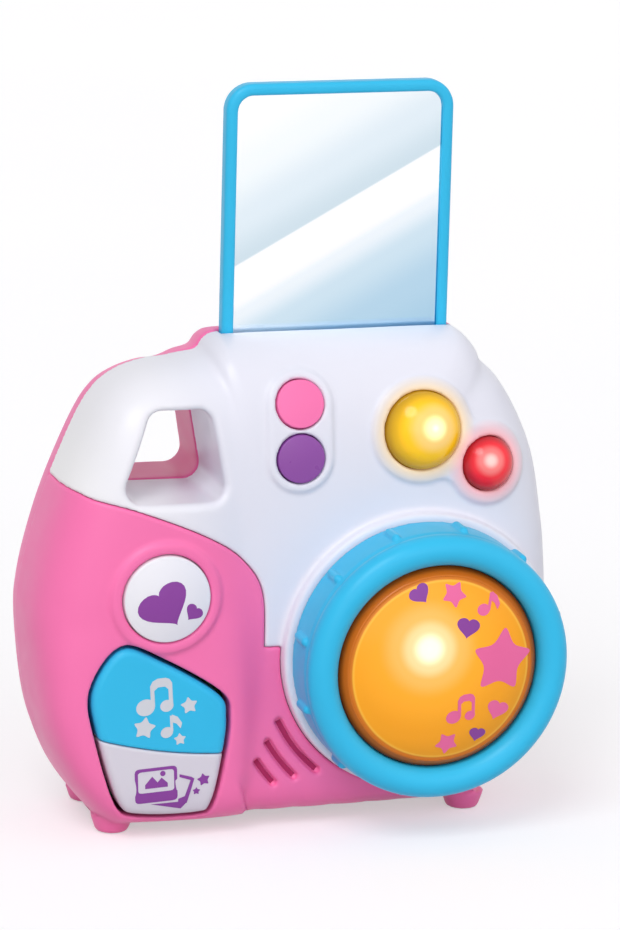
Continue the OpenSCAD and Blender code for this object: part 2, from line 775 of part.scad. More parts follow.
module bay_box(grow, y0) {
    translate([-bay_l / 2 - grow, y0, bay_z - bay_h / 2 - grow])
        cube([bay_l + 2 * grow, far, bay_h + 2 * grow]);
}
module door_area(gap) {
    w = bay_l - 2 * gap;
    h = bay_h - 2 * gap;
    neck_w = door_ear_r - 2 * gap;
    translate([-w / 2, bay_z - h / 2]) square([w, h]);
    translate([-neck_w / 2, bay_z]) square([neck_w, door_ear_at.y - bay_z]);
    translate(door_ear_at) circle(door_ear_r - gap);
}
module knob_slot() {
    slot_l = knob_w + 2 * (knob_travel + slide_gap);
    slot_h = knob_w + 2 * slide_gap;
    translate([knob_at.x - slot_l / 2, 0, knob_at.y - slot_h / 2]) cube([slot_l, far, slot_h]);
}
module switch_ears() {
    for (side = [-1, 1]) backward(knob_at + [side * switch_ear, 0], switch_seat) children();
}
module rear_shell() {
    color(pink_plastic) placed() difference() {
        union() {
            difference() {
                rear_form(0);
                rear_cavity();
            }
            intersection() {
                rear_form(-wall / 2);
                union() {
                    along_y(0, far) hole_area(wall);
                    for (at = case_screw_places) rear_post(at, rear_post_r, 0);
                    for (at = ear_places) rear_post(at, post_r, plate_back);
                    for (side = [-1, 1]) rear_post(knob_at + [side * switch_ear, 0], post_r, switch_seat);
                    rear_post(door_ear_at, door_ear_r, bay_front - bay_wall);
                    bay_box(bay_wall, bay_front - bay_wall);
                }
            }
            for (side = [-1, 1]) foot(side, foot_share.y * rear_d);
        }
        along_y(-overrun, far) hole_area(0);
        mirror_slot(-overrun, mirror_rear + slide_gap);
        bay_box(0, bay_front);
        along_y(door_ear_y - door_gap, far) door_area(0);
        backward(door_ear_at) disc(screw_r + screw_gap, door_ear_y - door_screw_l, far, bore_fn);
        knob_slot();
        for (at = case_screw_places) backward(at) {
            screw_bore(far);
            disc(head_r + head_gap, head_seat, far, bore_fn);
        }
        for (at = ear_places) backward(at, plate_back) screw_bore(board_screw_l);
        switch_ears() screw_bore(switch_screw_l);
    }
}

// Mirror
module mirror_outline(inset, low) {
    w = mirror_w - 2 * inset;
    r = mirror_corner - inset;
    top = body_h + mirror_up - inset;
    translate([mirror_x - w / 2, low]) square([w, top - r - low]);
    translate([mirror_x - w / 2 + r, top - r]) square([w - 2 * r, r]);
    for (side = [-1, 1]) translate([mirror_x + side * (w / 2 - r), top - r]) circle(r);
}
module sheet_area(gap) {
    mirror_outline(mirror_bar / 2 + gap, mirror_low + mirror_bar / 2 + gap);
}
module mirror_frame() {
    stop_w = mirror_w - 4 * mirror_bar;
    stop_top = body_h - wall - 2 * slide_gap;
    color(blue_plastic) placed() {
        difference() {
            along_y(-mirror_set, mirror_rear) mirror_outline(0, mirror_low);
            along_y(-mirror_set - overrun, mirror_rear + overrun) mirror_outline(mirror_bar, stop_top);
            along_y(-mirror_set + bezel_t, mirror_rear + overrun) sheet_area(0);
        }
        translate([mirror_x - stop_w / 2, -mirror_set - stop_t, stop_top - slide_gap - stop_h])
            cube([stop_w, stop_t + bezel_t / 2, stop_h]);
    }
}
module mirror_sheet() {
    front = -mirror_set + bezel_t;
    color("#dfe9ee") placed() along_y(front, front + sheet_t) sheet_area(sheet_gap);
}
module mirror_back() {
    color(blue_plastic) placed() along_y(-mirror_set + bezel_t + sheet_t, mirror_rear) sheet_area(sheet_gap);
}
plate_top_share = 0.915;
rail_lip = 2.8;
brake_w = 10;
brake_h = 6;
brake_rise = 0.3;
brake_share = 0.85;
module brake_places() {
    z = place([0, brake_share]).y;
    for (side = [-1, 1])
        translate([mirror_x + side * mirror_w / 4 - brake_w / 2, plate_front - brake_rise, z]) children();
}
module mirror_cassette() {
    inner_w = mirror_w + 2 * slide_gap;
    outer_w = inner_w + 2 * rail_t;
    plate_top = place([0, plate_top_share]).y;
    rail_front = -mirror_set - slide_gap - rail_t;
    rail_h = plate_top - plate_low + rail_t;
    color("#ece8ee") placed() difference() {
        union() {
            translate([mirror_x - outer_w / 2, rail_front, plate_low - rail_t])
                cube([outer_w, plate_back - rail_front, rail_h]);
            for (at = ear_places) {
                backward(at) disc(ear_r, plate_front, plate_back);
                translate([min(at.x, mirror_x), plate_front, at.y - ear_r])
                    cube([abs(at.x - mirror_x), plate_t, 2 * ear_r]);
            }
        }
        translate([mirror_x - inner_w / 2, -mirror_set - slide_gap, plate_low])
            cube([inner_w, mirror_t + 2 * slide_gap, rail_h]);
        translate([mirror_x - inner_w / 2 + rail_lip + slide_gap, rail_front - overrun, plate_low])
            cube([inner_w - 2 * (rail_lip + slide_gap), rail_t + 2 * overrun, rail_h]);
        brake_places() cube([brake_w, plate_t / 2 + brake_rise, brake_h]);
        for (at = ear_places) backward(at, plate_front) screw_bore(plate_t);
    }
}
module brake_pads() {
    color(dark) placed() brake_places() cube([brake_w, plate_t / 2 + brake_rise, brake_h]);
}
module cassette_screws() {
    color(steel) placed()
        for (at = ear_places) forward(at, -plate_front) screw(board_screw_l);
}

// Lens
module lens_turned() {
    forward(lens_at) rotate_extrude() children();
}
module band(r0, r1, z0, z1) {
    translate([r0, z0]) square([r1 - r0, z1 - z0]);
}
module lens_barrel() {
    color(white_plastic) placed() difference() {
        lens_turned() {
            band(barrel_bore, flange_r, flange_rear, barrel_seat);
            band(barrel_bore, bearing_r, barrel_seat, shoulder);
            band(barrel_bore, neck_r, shoulder, neck_end);
            band(barrel_bore - ledge_w, barrel_bore, flange_rear, ledge);
        }
        barrel_screw_places() screw_bore(barrel_flange_t);
    }
}
module barrel_screws() {
    color(steel) placed() barrel_screw_places() mirror([0, 0, 1]) screw(barrel_screw_l);
}
tooth_count = 24;
tooth_r = 0.7;
rib_first = 18;
rib_start = 2.5;
module lens_ring() {
    start = collar_front + ring_gap;
    lip_start = shoulder + ring_gap;
    lip_end = neck_end - ring_gap;
    mouth_r = cap_r + ring_gap;
    nose_r = (ring_r - mouth_r) / 2;
    nose_at = ring_front - nose_r;
    color(blue_plastic) placed() {
        lens_turned() {
            band(recess_r, ring_r, start, start + recess_l);
            band(bearing_r + run_gap, ring_r, start + recess_l, lip_start);
            band(neck_r + ring_gap, ring_r, lip_start, lip_end);
            band(mouth_r, ring_r, lip_end, nose_at);
            intersection() {
                translate([mouth_r + nose_r, nose_at]) circle(nose_r);
                band(mouth_r, ring_r, nose_at, ring_front);
            }
        }
        for (k = [0:rib_count - 1])
            forward(lens_at) rotate(rib_first + k * 360 / rib_count) translate([ring_r, 0, 0])
                disc(rib_w / 2, start + rib_start, start + rib_start + rib_l);
        for (k = [0:tooth_count - 1])
            forward(lens_at) rotate(k * 360 / tooth_count) translate([recess_r, 0, 0])
                disc(tooth_r, start + ring_gap, start + recess_l);
    }
}
module click_pawl() {
    pawl_w = 8;
    pawl_t = recess_w - 2 * tooth_r - ring_gap - slide_gap;
    color(rubber) placed() forward(lens_at, collar_front)
        translate([-pawl_w / 2, bearing_r + slide_gap, 0]) cube([pawl_w, pawl_t, recess_l - ring_gap]);
}
// Step at the foot of a dome
crown_step = 0.5;
crown_fn = 160;
// Half profile of a crowned disc: straight from low to foot, with a piece of a sphere on top
module crowned_area(r, low, foot, h) {
    ball = (r * r + h * h) / (2 * h);
    intersection() {
        band(0, r, low, foot + 2 * h);
        translate([0, foot + h - ball]) circle(ball, $fn = crown_fn);
    }
}
module lens_cap() {
    bevel_low = neck_end + cap_t;
    bevel_top = bevel_low + bevel_h;
    skirt_r = barrel_bore - seam_gap;
    bore = skirt_r - dome_wall;
    color(amber_plastic, 0.85) placed() lens_turned() difference() {
        union() {
            band(0, skirt_r, neck_end - skirt_l, neck_end);
            band(0, cap_r, neck_end, bevel_low);
            polygon([[0, bevel_low], [cap_r, bevel_low], [dome_r + crown_step, bevel_top], [0, bevel_top]]);
            crowned_area(dome_r, bevel_low, bevel_top, dome_h);
        }
        band(0, bore, neck_end - skirt_l - overrun, bevel_top - dome_wall);
        crowned_area(bore - crown_step, bevel_low - dome_wall, bevel_top - dome_wall, dome_h - dome_wall / 2);
    }
}
module lens_reflector() {
    rim_r = barrel_bore - seam_gap;
    rim_low = ledge + seam_gap;
    rim_high = rim_low + reflector_rim;
    eye_r = lamp_r + overrun;
    eye_at = flange_rear + board_t;
    color("#f7f7f7") placed() lens_turned()
        polygon([
            [eye_r, eye_at], [eye_r + reflector_rim, eye_at], [rim_r - ledge_w, rim_low], [rim_r, rim_low],
            [rim_r, rim_high], [rim_r - reflector_rim, rim_high], [eye_r, eye_at + reflector_rim]
        ]);
}
module lens_board() {
    board_r = barrel_bore + neck_wall;
    color(board_green) placed() forward(lens_at) disc(board_r, flange_rear - board_t, flange_rear);
}
// Lamp that stands on a board
module lamp() {
    base_h = 1;
    base_w = 0.4;
    disc(lamp_r + base_w, 0, base_h);
    disc(lamp_r, 0, lamp_h - lamp_r);
    translate([0, 0, lamp_h - lamp_r]) sphere(lamp_r);
}
module lens_lamp() {
    color("#fff3c8") placed() forward(lens_at, flange_rear) lamp();
}

// Light domes: a crowned cap with a flange behind the wall
dome_flange_t = 1.2;
dome_skin = 1.4;
module light_dome(r, h) {
    flange_low = flange_top - dome_flange_t;
    rotate_extrude() difference() {
        union() {
            crowned_area(r, flange_low, pad_rise, h);
            band(0, r + dome_flange_w, flange_low, flange_top);
        }
        band(0, r - dome_skin, flange_low - overrun, pad_rise - dome_skin);
        crowned_area(r - dome_skin - crown_step, flange_top, pad_rise - dome_skin, h);
    }
}
module flash_dome() {
    color(yellow_plastic, 0.9) placed() on_face(flash_share) light_dome(flash_r, flash_h);
}
module signal_dome() {
    color(red_plastic, 0.9) placed() on_face(signal_share) light_dome(signal_r, signal_h);
}
module flash_lamp() {
    color("#fff7d8") placed() forward(place(flash_share), main_set) lamp();
}
module signal_lamp() {
    color("#ffd9d9") placed() forward(place(signal_share), main_set) lamp();
}

// Buttons
stem_r = 3;
stem_gap = 0.3;
cap_flange_t = 1.2;
heart_band_share = 1.2;
dot_band_share = 0.7;
// Crowned cap, flange behind the wall and stem; band_share is the flange's height over the cap's
module push_button(r, rise, crown_h, stem, band_share) {
    flange_low = flange_top - cap_flange_t;
    rotate_extrude() {
        crowned_area(r, flange_low, pad_rise + rise, crown_h);
        band(0, stem_r, -stem, flange_top);
    }
    intersection() {
        disc(r + cap_flange_w, flange_low, flange_top);
        translate([-far, -band_share * r, -far]) cube([2 * far, 2 * band_share * r, far]);
    }
}
heart_rise = 0.6;
heart_crown = 2.2;
dot_rise = 0.3;
dot_crown = 0.6;
module heart_button() {
    stem = grip_depth(heart_at) - key_set - contact_h - heart_travel - stem_gap;
    color(white_plastic) placed() on_heart()
        push_button(heart_r, heart_rise, heart_crown, stem, heart_band_share);
}
module dot_button(share) {
    lean = stem_r * sin(face_tilt(place(share)));
    stem = front_depth(place(share)) - main_set - contact_h - dot_travel - stem_gap - lean;
    placed() on_face(share) push_button(dot_r, dot_rise, dot_crown, stem, dot_band_share);
}
module pink_button() {
    color(pink_plastic) dot_button(pink_share);
}
module purple_button() {
    color(purple_plastic) dot_button(purple_share);
}
contact_r = 3.5;
module heart_contact() {
    color(rubber) placed() forward(heart_at, key_set) cylinder(r = contact_r, h = contact_h);
}
module dot_contacts() {
    color(rubber) placed()
        for (s = dot_shares) {
            sink = tan(face_tilt(place(s))) * (front_depth(place(s)) - main_set);
            forward(place(s) - [0, sink], main_set) cylinder(r = contact_r, h = contact_h);
        }
}

// Rocker: two keys on one carrier that tilts on a pin
module rocker_half_plane(side) {
    reach = rocker_half.x + rocker_half.y;
    translate(pivot_at) rotate(split_tilt) translate([-reach, side > 0 ? 0 : -2 * reach])
        square([2 * reach, 2 * reach]);
}
module rocker_key(side) {
    placed() intersection() {
        grip_form(key_rise);
        along_y(-far, -key_back) intersection() {
            polygon(rocker_line);
            rocker_half_plane(side);
        }
    }
}
module music_key() {
    color(blue_plastic) rocker_key(1);
}
module photo_key() {
    color(white_plastic) rocker_key(-1);
}
carrier_in = 4;
module rocker_carrier() {
    lug_span = rocker_half.x;
    color(white_plastic) placed() difference() {
        union() {
            along_y(-key_back, -key_back + carrier_t)
                polygon(grown(rocker_line, rocker_mid, rocker_half, -carrier_in));
            for (side = [-1, 1]) {
                x = pivot_at.x + side * lug_span / 2 - lug_w / 2;
                rocker_axis(x, x + lug_w, lug_r);
                translate([x, -key_back + carrier_t / 2, pivot_at.y - lug_r])
                    cube([lug_w, key_back - carrier_t / 2 - pivot_depth, 2 * lug_r]);
            }
        }
        rocker_axis(pin_x0, pin_x1, pin_r + pin_gap);
    }
}
module rocker_pin() {
    color(steel) placed() rocker_axis(pin_x0, pin_x1, pin_r);
}
module rocker_contacts() {
    color(rubber) placed()
        for (s = rocker_contact_shares)
            forward([pivot_at.x, place([0, s]).y], key_set)
                cylinder(r = contact_r, h = key_back - carrier_t - key_set - rocker_stroke);
}

// Boards
module main_board() {
    color(board_green) placed() difference() {
        along_y(-main_set, -main_set + board_t) polygon(places(main_board_shares));
        for (at = places(main_post_shares)) forward(at, main_set - board_t) screw_bore(board_t);
    }
}
module key_board() {
    low = place(key_board_shares[0]);
    high = place(key_board_shares[1]);
    color(board_green) placed() difference() {
        translate([low.x, -key_set, low.y]) cube([high.x - low.x, board_t, high.y - low.y]);
        for (at = places(key_post_shares)) forward(at, key_set - board_t) screw_bore(board_t);
    }
}
module board_screws() {
    color(steel) placed() {
        for (at = places(main_post_shares)) backward(at, -main_set + board_t) screw(board_screw_l);
        for (at = places(key_post_shares)) backward(at, -key_set + board_t) screw(board_screw_l);
    }
}

// Speaker, rim forward
magnet_share = 0.62;
magnet_h = 4;
module speaker_basket() {
    throat = speaker_r * magnet_share;
    inner = speaker_r - seat_w;
    rim_rear = speaker_set - rim_t;
    low = speaker_set - speaker_h + magnet_h;
    color(dark) placed() forward(speaker_at) rotate_extrude()
        polygon([
            [inner, speaker_set], [speaker_r, speaker_set], [speaker_r, rim_rear],
            [speaker_r - seat_w / 2, rim_rear], [throat, low], [throat - seat_w, low],
            [throat - seat_w, low + rim_t], [inner, rim_rear]
        ]);
}
module speaker_cone() {
    throat = speaker_r * magnet_share - seat_w;
    low = speaker_set - speaker_h + magnet_h + rim_t + slide_gap;
    edge = speaker_r - seat_w - seam_gap;
    color("#55504a") placed() forward(speaker_at) rotate_extrude()
        polygon([
            [0, low], [throat, low], [edge, speaker_set - rim_t + slide_gap],
            [edge, speaker_set], [throat, low + rim_t], [0, low + rim_t]
        ]);
}
module speaker_magnet() {
    color(steel) placed() forward(speaker_at)
        disc(speaker_r * magnet_share, speaker_set - speaker_h, speaker_set - speaker_h + magnet_h);
}
module speaker_screws() {
    color(steel) placed()
        for (at = speaker_screw_places) backward(at, -speaker_set + rim_t) screw(speaker_screw_l);
}

// Power
module battery_door() {
    color(pink_plastic) placed() difference() {
        intersection() {
            rear_form(0);
            along_y(0, far) door_area(door_gap);
        }
        rear_cavity();
        backward(door_ear_at) disc(screw_r + screw_gap, 0, far);
        backward(door_ear_at) disc(head_r + head_gap, door_ear_y + wall - head_t - screw_gap, far);
    }
}
module door_screw() {
    color(steel) placed() backward(door_ear_at, door_ear_y + wall - head_t - screw_gap)
        screw(door_screw_l - wall);
}
contact_share = 0.7;
nub_r = 2.7;
nub_l = 1;
module battery() {
    disc(cell_r, 0, cell_l - nub_l);
    disc(nub_r, 0, cell_l);
}
module batteries() {
    start = -bay_l / 2 + contact_t + spring_l + bay_gap;
    color("#3a3f48") placed()
        for (side = [-1, 1])
            translate([0, cell_y, bay_z + side * cell_step]) scale([side, 1, 1])
                translate([start, 0, 0]) rotate([0, 90, 0]) battery();
}
module battery_contacts() {
    plate_w = 2 * contact_share * cell_r;
    spring_r = cell_r / 2;
    color(steel) placed()
        for (side = [-1, 1])
            translate([0, cell_y, bay_z + side * cell_step]) scale([side, 1, 1]) {
                for (x = [-bay_l / 2, bay_l / 2 - contact_t])
                    translate([x, -plate_w / 2, -plate_w / 2]) cube([contact_t, plate_w, plate_w]);
                translate([-bay_l / 2, 0, 0]) rotate([0, 90, 0])
                    cylinder(r = spring_r, h = contact_t + spring_l);
            }
}
knob_plate_w = 8;
knob_proud = 0.5;
module power_knob() {
    back = switch_seat + slide_gap;
    color(dark) placed() {
        translate([knob_at.x - knob_plate_w / 2, back, knob_at.y - knob_plate_w / 2])
            cube([knob_plate_w, knob_plate_t, knob_plate_w]);
        translate([knob_at.x - knob_w / 2, back, knob_at.y - knob_w / 2])
            cube([knob_w, rear_depth(knob_at) + knob_proud - back, knob_w]);
    }
}
module power_switch() {
    switch_w = 13;
    switch_t = 5;
    plate_l = 2 * (switch_ear + switch_ear_r);
    color(steel) placed() difference() {
        union() {
            translate([knob_at.x - plate_l / 2, switch_seat - board_t, knob_at.y - switch_ear_r])
                cube([plate_l, board_t, 2 * switch_ear_r]);
            translate([knob_at.x - switch_w / 2, switch_seat - switch_t, knob_at.y - switch_ear_r])
                cube([switch_w, switch_t, 2 * switch_ear_r]);
        }
        switch_ears() mirror([0, 0, 1]) screw_bore(board_t);
    }
}
module switch_screws() {
    color(steel) placed() switch_ears() translate([0, 0, -board_t]) mirror([0, 0, 1])
        screw(board_t + switch_screw_l - screw_gap);
}
module case_screws() {
    color(steel) placed() for (at = case_screw_places) backward(at, head_seat) screw(case_screw_l);
}

front_shell();
lower_front_shell();
rear_shell();
mirror_frame();
mirror_sheet();
mirror_back();
mirror_cassette();
brake_pads();
cassette_screws();
lens_barrel();
lens_ring();
lens_cap();
lens_reflector();
lens_board();
lens_lamp();
click_pawl();
barrel_screws();
flash_dome();
flash_lamp();
signal_dome();
signal_lamp();
heart_button();
heart_contact();
pink_button();
purple_button();
dot_contacts();
music_key();
photo_key();
rocker_carrier();
rocker_pin();
rocker_contacts();
main_board();
key_board();
board_screws();
speaker_basket();
speaker_cone();
speaker_magnet();
speaker_screws();
battery_door();
door_screw();
batteries();
battery_contacts();
power_knob();
power_switch();
switch_screws();
case_screws();
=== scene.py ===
import json
import math

import bpy
import numpy as np
from mathutils import Matrix, Vector
from mathutils.bvhtree import BVHTree


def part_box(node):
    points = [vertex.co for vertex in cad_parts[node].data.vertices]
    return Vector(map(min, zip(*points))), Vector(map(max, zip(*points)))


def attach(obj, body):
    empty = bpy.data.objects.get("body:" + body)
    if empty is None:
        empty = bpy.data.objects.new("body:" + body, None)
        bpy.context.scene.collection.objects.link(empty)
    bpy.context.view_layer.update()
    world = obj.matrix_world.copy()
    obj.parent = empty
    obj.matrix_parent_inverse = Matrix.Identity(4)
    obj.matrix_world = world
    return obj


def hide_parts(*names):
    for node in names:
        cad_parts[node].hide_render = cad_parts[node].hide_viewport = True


# Looks of a toy camera: smooth moulded shells, keys, lit domes, prints, finishes and light.
# Shapes are worked out in millimetres about the middle of the parting plane, with y to the back.

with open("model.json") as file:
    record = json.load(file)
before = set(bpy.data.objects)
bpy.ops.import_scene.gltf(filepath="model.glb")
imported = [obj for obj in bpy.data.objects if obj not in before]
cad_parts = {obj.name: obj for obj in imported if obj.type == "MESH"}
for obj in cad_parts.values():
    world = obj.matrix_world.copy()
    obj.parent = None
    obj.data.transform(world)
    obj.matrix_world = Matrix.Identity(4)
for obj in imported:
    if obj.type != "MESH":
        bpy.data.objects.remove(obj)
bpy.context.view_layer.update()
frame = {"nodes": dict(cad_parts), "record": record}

MM = 0.001

# Driving sizes, in millimetres
BODY_H = 152.5
FOOT_H = 3.0
FOOT_R = 5.0
FOOT_FLARE = 1.0
FRONT_D = 31.0
WALL = 2.4
GRIP_RISE = 3.5
GRIP_SIDE = 0.8
SEAM_GAP = 0.2
PAD_RISE = 1.2
COLLAR_R = 44.0
COLLAR_RISE = 3.5
COLLAR_LOW = 12.0
RING_R = 41.6
CAP_R = 31.8
BEARING_R = 34.0
HEART_R = 13.5
DOT_R = 7.4
FLASH_R = 12.0
SIGNAL_R = 8.3
BUTTON_GAP = 0.35
SLIDE_GAP = 0.4
ROCKER_GAP = 1.2
KEY_RISE = 0.5
SLOT_W = 2.4
SLOT_PITCH = 6.0
MIRROR_BAR = 3.6
MIRROR_CORNER = 8.5
BEZEL_T = 1.6

# The toy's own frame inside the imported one
rear_low, rear_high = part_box("rear_shell")
HALF_W = (rear_high.x - rear_low.x) / MM / 2
REAR_D = (rear_high.y - rear_low.y) / MM
SHELL_H = BODY_H - FOOT_H
GRIP_D = FRONT_D + GRIP_RISE
ORIGIN = np.array([(rear_high.x + rear_low.x) / MM / 2, rear_low.y / MM, 0.0])


def place(share):
    """Point of the front that is given as shares of the half width and of the shell's height."""
    return np.array([share[0] * HALF_W, FOOT_H + share[1] * SHELL_H])


def local_box(node):
    """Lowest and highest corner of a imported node, in the toy's own frame."""
    low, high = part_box(node)
    return np.array(low) / MM - ORIGIN, np.array(high) / MM - ORIGIN


# Outlines, as shares of the half width and of the shell's height
RIGHT_SHARES = [
    (0.624, 0), (0.72, 0.008), (0.816, 0.06), (0.906, 0.144), (0.966, 0.247), (1, 0.41),
    (0.99, 0.54), (0.971, 0.622), (0.936, 0.732), (0.879, 0.817), (0.8, 0.893),
]
HUMP_SHARES = [
    (0.726, 0.935), (0.699, 0.965), (0.642, 0.994), (0.552, 1), (0.16, 1),
    (-0.228, 1), (-0.307, 0.99), (-0.341, 0.967), (-0.403, 0.957),
]
LEFT_SHARES = [
    (-0.471, 0.9425), (-0.546, 0.938), (-0.637, 0.922), (-0.715, 0.893), (-0.786, 0.835),
    (-0.885, 0.709), (-0.948, 0.602), (-0.99, 0.5), (-1, 0.41), (-0.966, 0.247),
    (-0.906, 0.144), (-0.816, 0.06), (-0.72, 0.008), (-0.624, 0),
]
FOLD_SHARES = [
    (-0.21, 0), (-0.198, 0.03), (-0.18, 0.18), (-0.163, 0.335), (-0.154, 0.42), (-0.175, 0.495),
    (-0.21, 0.602), (-0.253, 0.729), (-0.304, 0.856), (-0.336, 0.906), (-0.4, 0.937),
]
SEAM_SHARES = [
    (-1.1, 0.714), (-0.886, 0.714), (-0.805, 0.703), (-0.67, 0.684), (-0.457, 0.638),
    (-0.301, 0.591), (-0.2125, 0.5445), (-0.172, 0.5057), (-0.157, 0.463), (-0.1537, 0.41),
]
SEAM_LEVEL_SHARE = 0.376
ROCKER_SHARES = [
    (-0.551, 0.363), (-0.707, 0.395), (-0.813, 0.31), (-0.788, 0.206), (-0.706, 0.067),
    (-0.617, 0.037), (-0.403, 0.033), (-0.355, 0.054), (-0.316, 0.162), (-0.304, 0.237), (-0.336, 0.288),
]
HOLE_SHARES = [(-0.632, 0.726), (-0.378, 0.724), (-0.418, 0.843), (-0.548, 0.843)]
HOLE_R = 5.0
BODY_MID = place((0, 0.48))
GRIP_MID = place((-0.56, 0.46))
LENS_AT = place((0.437, 0.3545))
HEART_AT = place((-0.545, 0.5))
PINK_AT = place((-0.034, 0.881))
PURPLE_AT = place((-0.034, 0.771))
FLASH_AT = place((0.4334, 0.818))
SIGNAL_AT = place((0.6927, 0.7405))
ROCKER_AT = place((-0.555, 0.187))
KNOB_AT = place((0.53, 0.167))
BAY_Z = place((0, 0.171))[1]
FOOT_SHARE = (0.684, 0.58)
SCREW_SHARES = [
    (0.876, 0.582), (0.738, 0.85), (-0.402, 0.9177), (-0.804, 0.09), (0.708, 0.0635), (-0.864, 0.462),
]
SCREW_PLACES = [place(share) for share in SCREW_SHARES]

# How square the edges are towards the sides, the top and the bottom, and how the faces swell
BODY_POWERS = (9, 4.5, 16)
GRIP_POWERS = (4.5, 4.5, 16)
REAR_POWERS = (5, 5, 10)
FRONT_BULGE = 3.5
REAR_BULGE = 3.0


def smooth_loop(points, closed=True, steps=10):
    """Smooth curve through points: a loop, or an open run."""
    points = [np.asarray(p, float) for p in points]
    n = len(points)
    line = []
    for i in range(n if closed else n - 1):
        if closed:
            a, b, c, d = (points[(i + k) % n] for k in (-1, 0, 1, 2))
        else:
            a, b, c, d = (points[min(max(i + k, 0), n - 1)] for k in (-1, 0, 1, 2))
        for t in np.arange(steps) / steps:
            line.append(b + t / 2 * (c - a + t * (2 * a - 5 * b + 4 * c - d + t * (3 * (b - c) + d - a))))
    if not closed:
        line.append(points[-1])
    return np.array(line)


def places(shares):
    return [place(share) for share in shares]


BODY_LINE = smooth_loop(places(RIGHT_SHARES + HUMP_SHARES + LEFT_SHARES))
GRIP_LINE = smooth_loop(places(FOLD_SHARES + LEFT_SHARES))
ROCKER_LINE = smooth_loop(places(ROCKER_SHARES), steps=6)

# Rounded forms: outline, its middle and growth, depth, edge powers and bulge
BODY = (BODY_LINE, BODY_MID, 0.0, FRONT_D, BODY_POWERS, FRONT_BULGE)
GRIP = (GRIP_LINE, GRIP_MID, GRIP_SIDE, GRIP_D, GRIP_POWERS, FRONT_BULGE)
REAR = (BODY_LINE, BODY_MID, 0.0, REAR_D, REAR_POWERS, REAR_BULGE)


# Distance fields: negative inside, in millimetres

class Grid:
    """Sample points of a box, as three arrays that broadcast against each other."""

    def __init__(self, low, high, step):
        self.low = np.array(low, float)
        self.step = step
        x, y, z = (a + step * np.arange(int(math.ceil((b - a) / step)) + 1) for a, b in zip(low, high))
        self.x = x[:, None, None]
        self.y = y[None, :, None]
        self.z = z[None, None, :]


def join(a, b, r):
    """Union with a fillet of radius r."""
    return np.maximum(r, np.minimum(a, b)) - np.hypot(np.maximum(r - a, 0), np.maximum(r - b, 0))


def meet(a, b, r):
    """Intersection with an edge of radius r."""
    return np.minimum(-r, np.maximum(a, b)) + np.hypot(np.maximum(r + a, 0), np.maximum(r + b, 0))


def cut(a, b, r):
    """Difference with an edge of radius r."""
    return meet(a, -b, r)


def polygon_distance(points, u, v):
    shape = np.broadcast(u, v).shape
    nearest = np.full(shape, np.inf)
    inside = np.zeros(shape, bool)
    for (au, av), (bu, bv) in zip(points, np.roll(points, -1, axis=0)):
        eu, ev = bu - au, bv - av
        share = np.clip(((u - au) * eu + (v - av) * ev) / (eu * eu + ev * ev), 0, 1)
        nearest = np.minimum(nearest, (u - au - share * eu) ** 2 + (v - av - share * ev) ** 2)
        if ev:
            inside ^= ((av > v) != (bv > v)) & (u < au + (v - av) * eu / ev)
    return np.where(inside, -1, 1) * np.sqrt(nearest)


def box_distance(grid, low, high):
    """Distance to a box with sharp edges."""
    sides = [np.maximum(a - c, c - b) for c, a, b in zip((grid.x, grid.y, grid.z), low, high)]
    return np.maximum(np.maximum(sides[0], sides[1]), sides[2])


def round_box(u, v, half_u, half_v, r):
    """Distance to a rectangle about zero with round corners."""
    du = np.abs(u) - half_u + r
    dv = np.abs(v) - half_v + r
    return np.hypot(np.maximum(du, 0), np.maximum(dv, 0)) + np.minimum(np.maximum(du, dv), 0) - r


def from_axis(grid, at):
    """Distance from a line along Y."""
    return np.hypot(grid.x - at[0], grid.z - at[1])


def from_normal(grid, spot):
    """Distance from the line that leaves the front face squarely at a spot."""
    point, normal = spot
    offset = [grid.x - point[0], grid.y - point[1], grid.z - point[2]]
    along = sum(o * n for o, n in zip(offset, normal))
    return np.sqrt(sum((o - along * n) ** 2 for o, n in zip(offset, normal)))


def gauge(line, mid, grow, x, z):
    """Share of the way from the middle of a loop to its line, and the direction's rise."""
    ray = line - mid
    turns = np.arctan2(ray[:, 1], ray[:, 0])
    order = np.argsort(turns)
    reach = np.hypot(ray[order, 0], ray[order, 1]) + grow
    radius = np.hypot(x - mid[0], z - mid[1]) + 1e-9
    edge = np.interp(np.arctan2(z - mid[1], x - mid[0]), turns[order], reach, period=2 * math.pi)
    return radius / edge, (z - mid[1]) / radius


def edge_power(rise, powers):
    return powers[0] + (np.where(rise > 0, powers[1], powers[2]) - powers[0]) * rise ** 2


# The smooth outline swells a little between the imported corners, so it is drawn in by this much
LINE_EASE = 0.1
# Least slope and filling, so that no distance is divided by zero
LEAST_SLOPE = 1e-3
LEAST_FILL = 1e-3


def swollen(grid, form):
    """Distance to a rounded form over a loop."""
    line, mid, grow, depth, powers, bulge = form
    share, rise = gauge(line, mid, grow - LINE_EASE, grid.x, grid.z)
    area = np.minimum(share, 2) ** edge_power(rise, powers)
    level = np.abs(grid.y) / depth
    slope_x = np.gradient(area, grid.step, axis=0)
    slope_z = np.gradient(area, grid.step, axis=2)
    slope_y = bulge * level ** (bulge - 1) / depth
    steepness = np.sqrt(slope_x ** 2 + slope_z ** 2 + slope_y ** 2 + LEAST_SLOPE ** 2)
    fill = np.maximum(area + level ** bulge, LEAST_FILL)
    # A fourth root is nearly even with depth, so that walls keep their thickness
    return 4 * (fill - fill ** 0.75) / steepness


# Fold between body and grip: its radius, and how it fades out to the left and bottom edges
FOLD_R = 5.0
FOLD_FADE = 30.0
FOLD_FOOT = 6.0
FOLD_RISE = 16.0
LEAST_FADE = 0.02


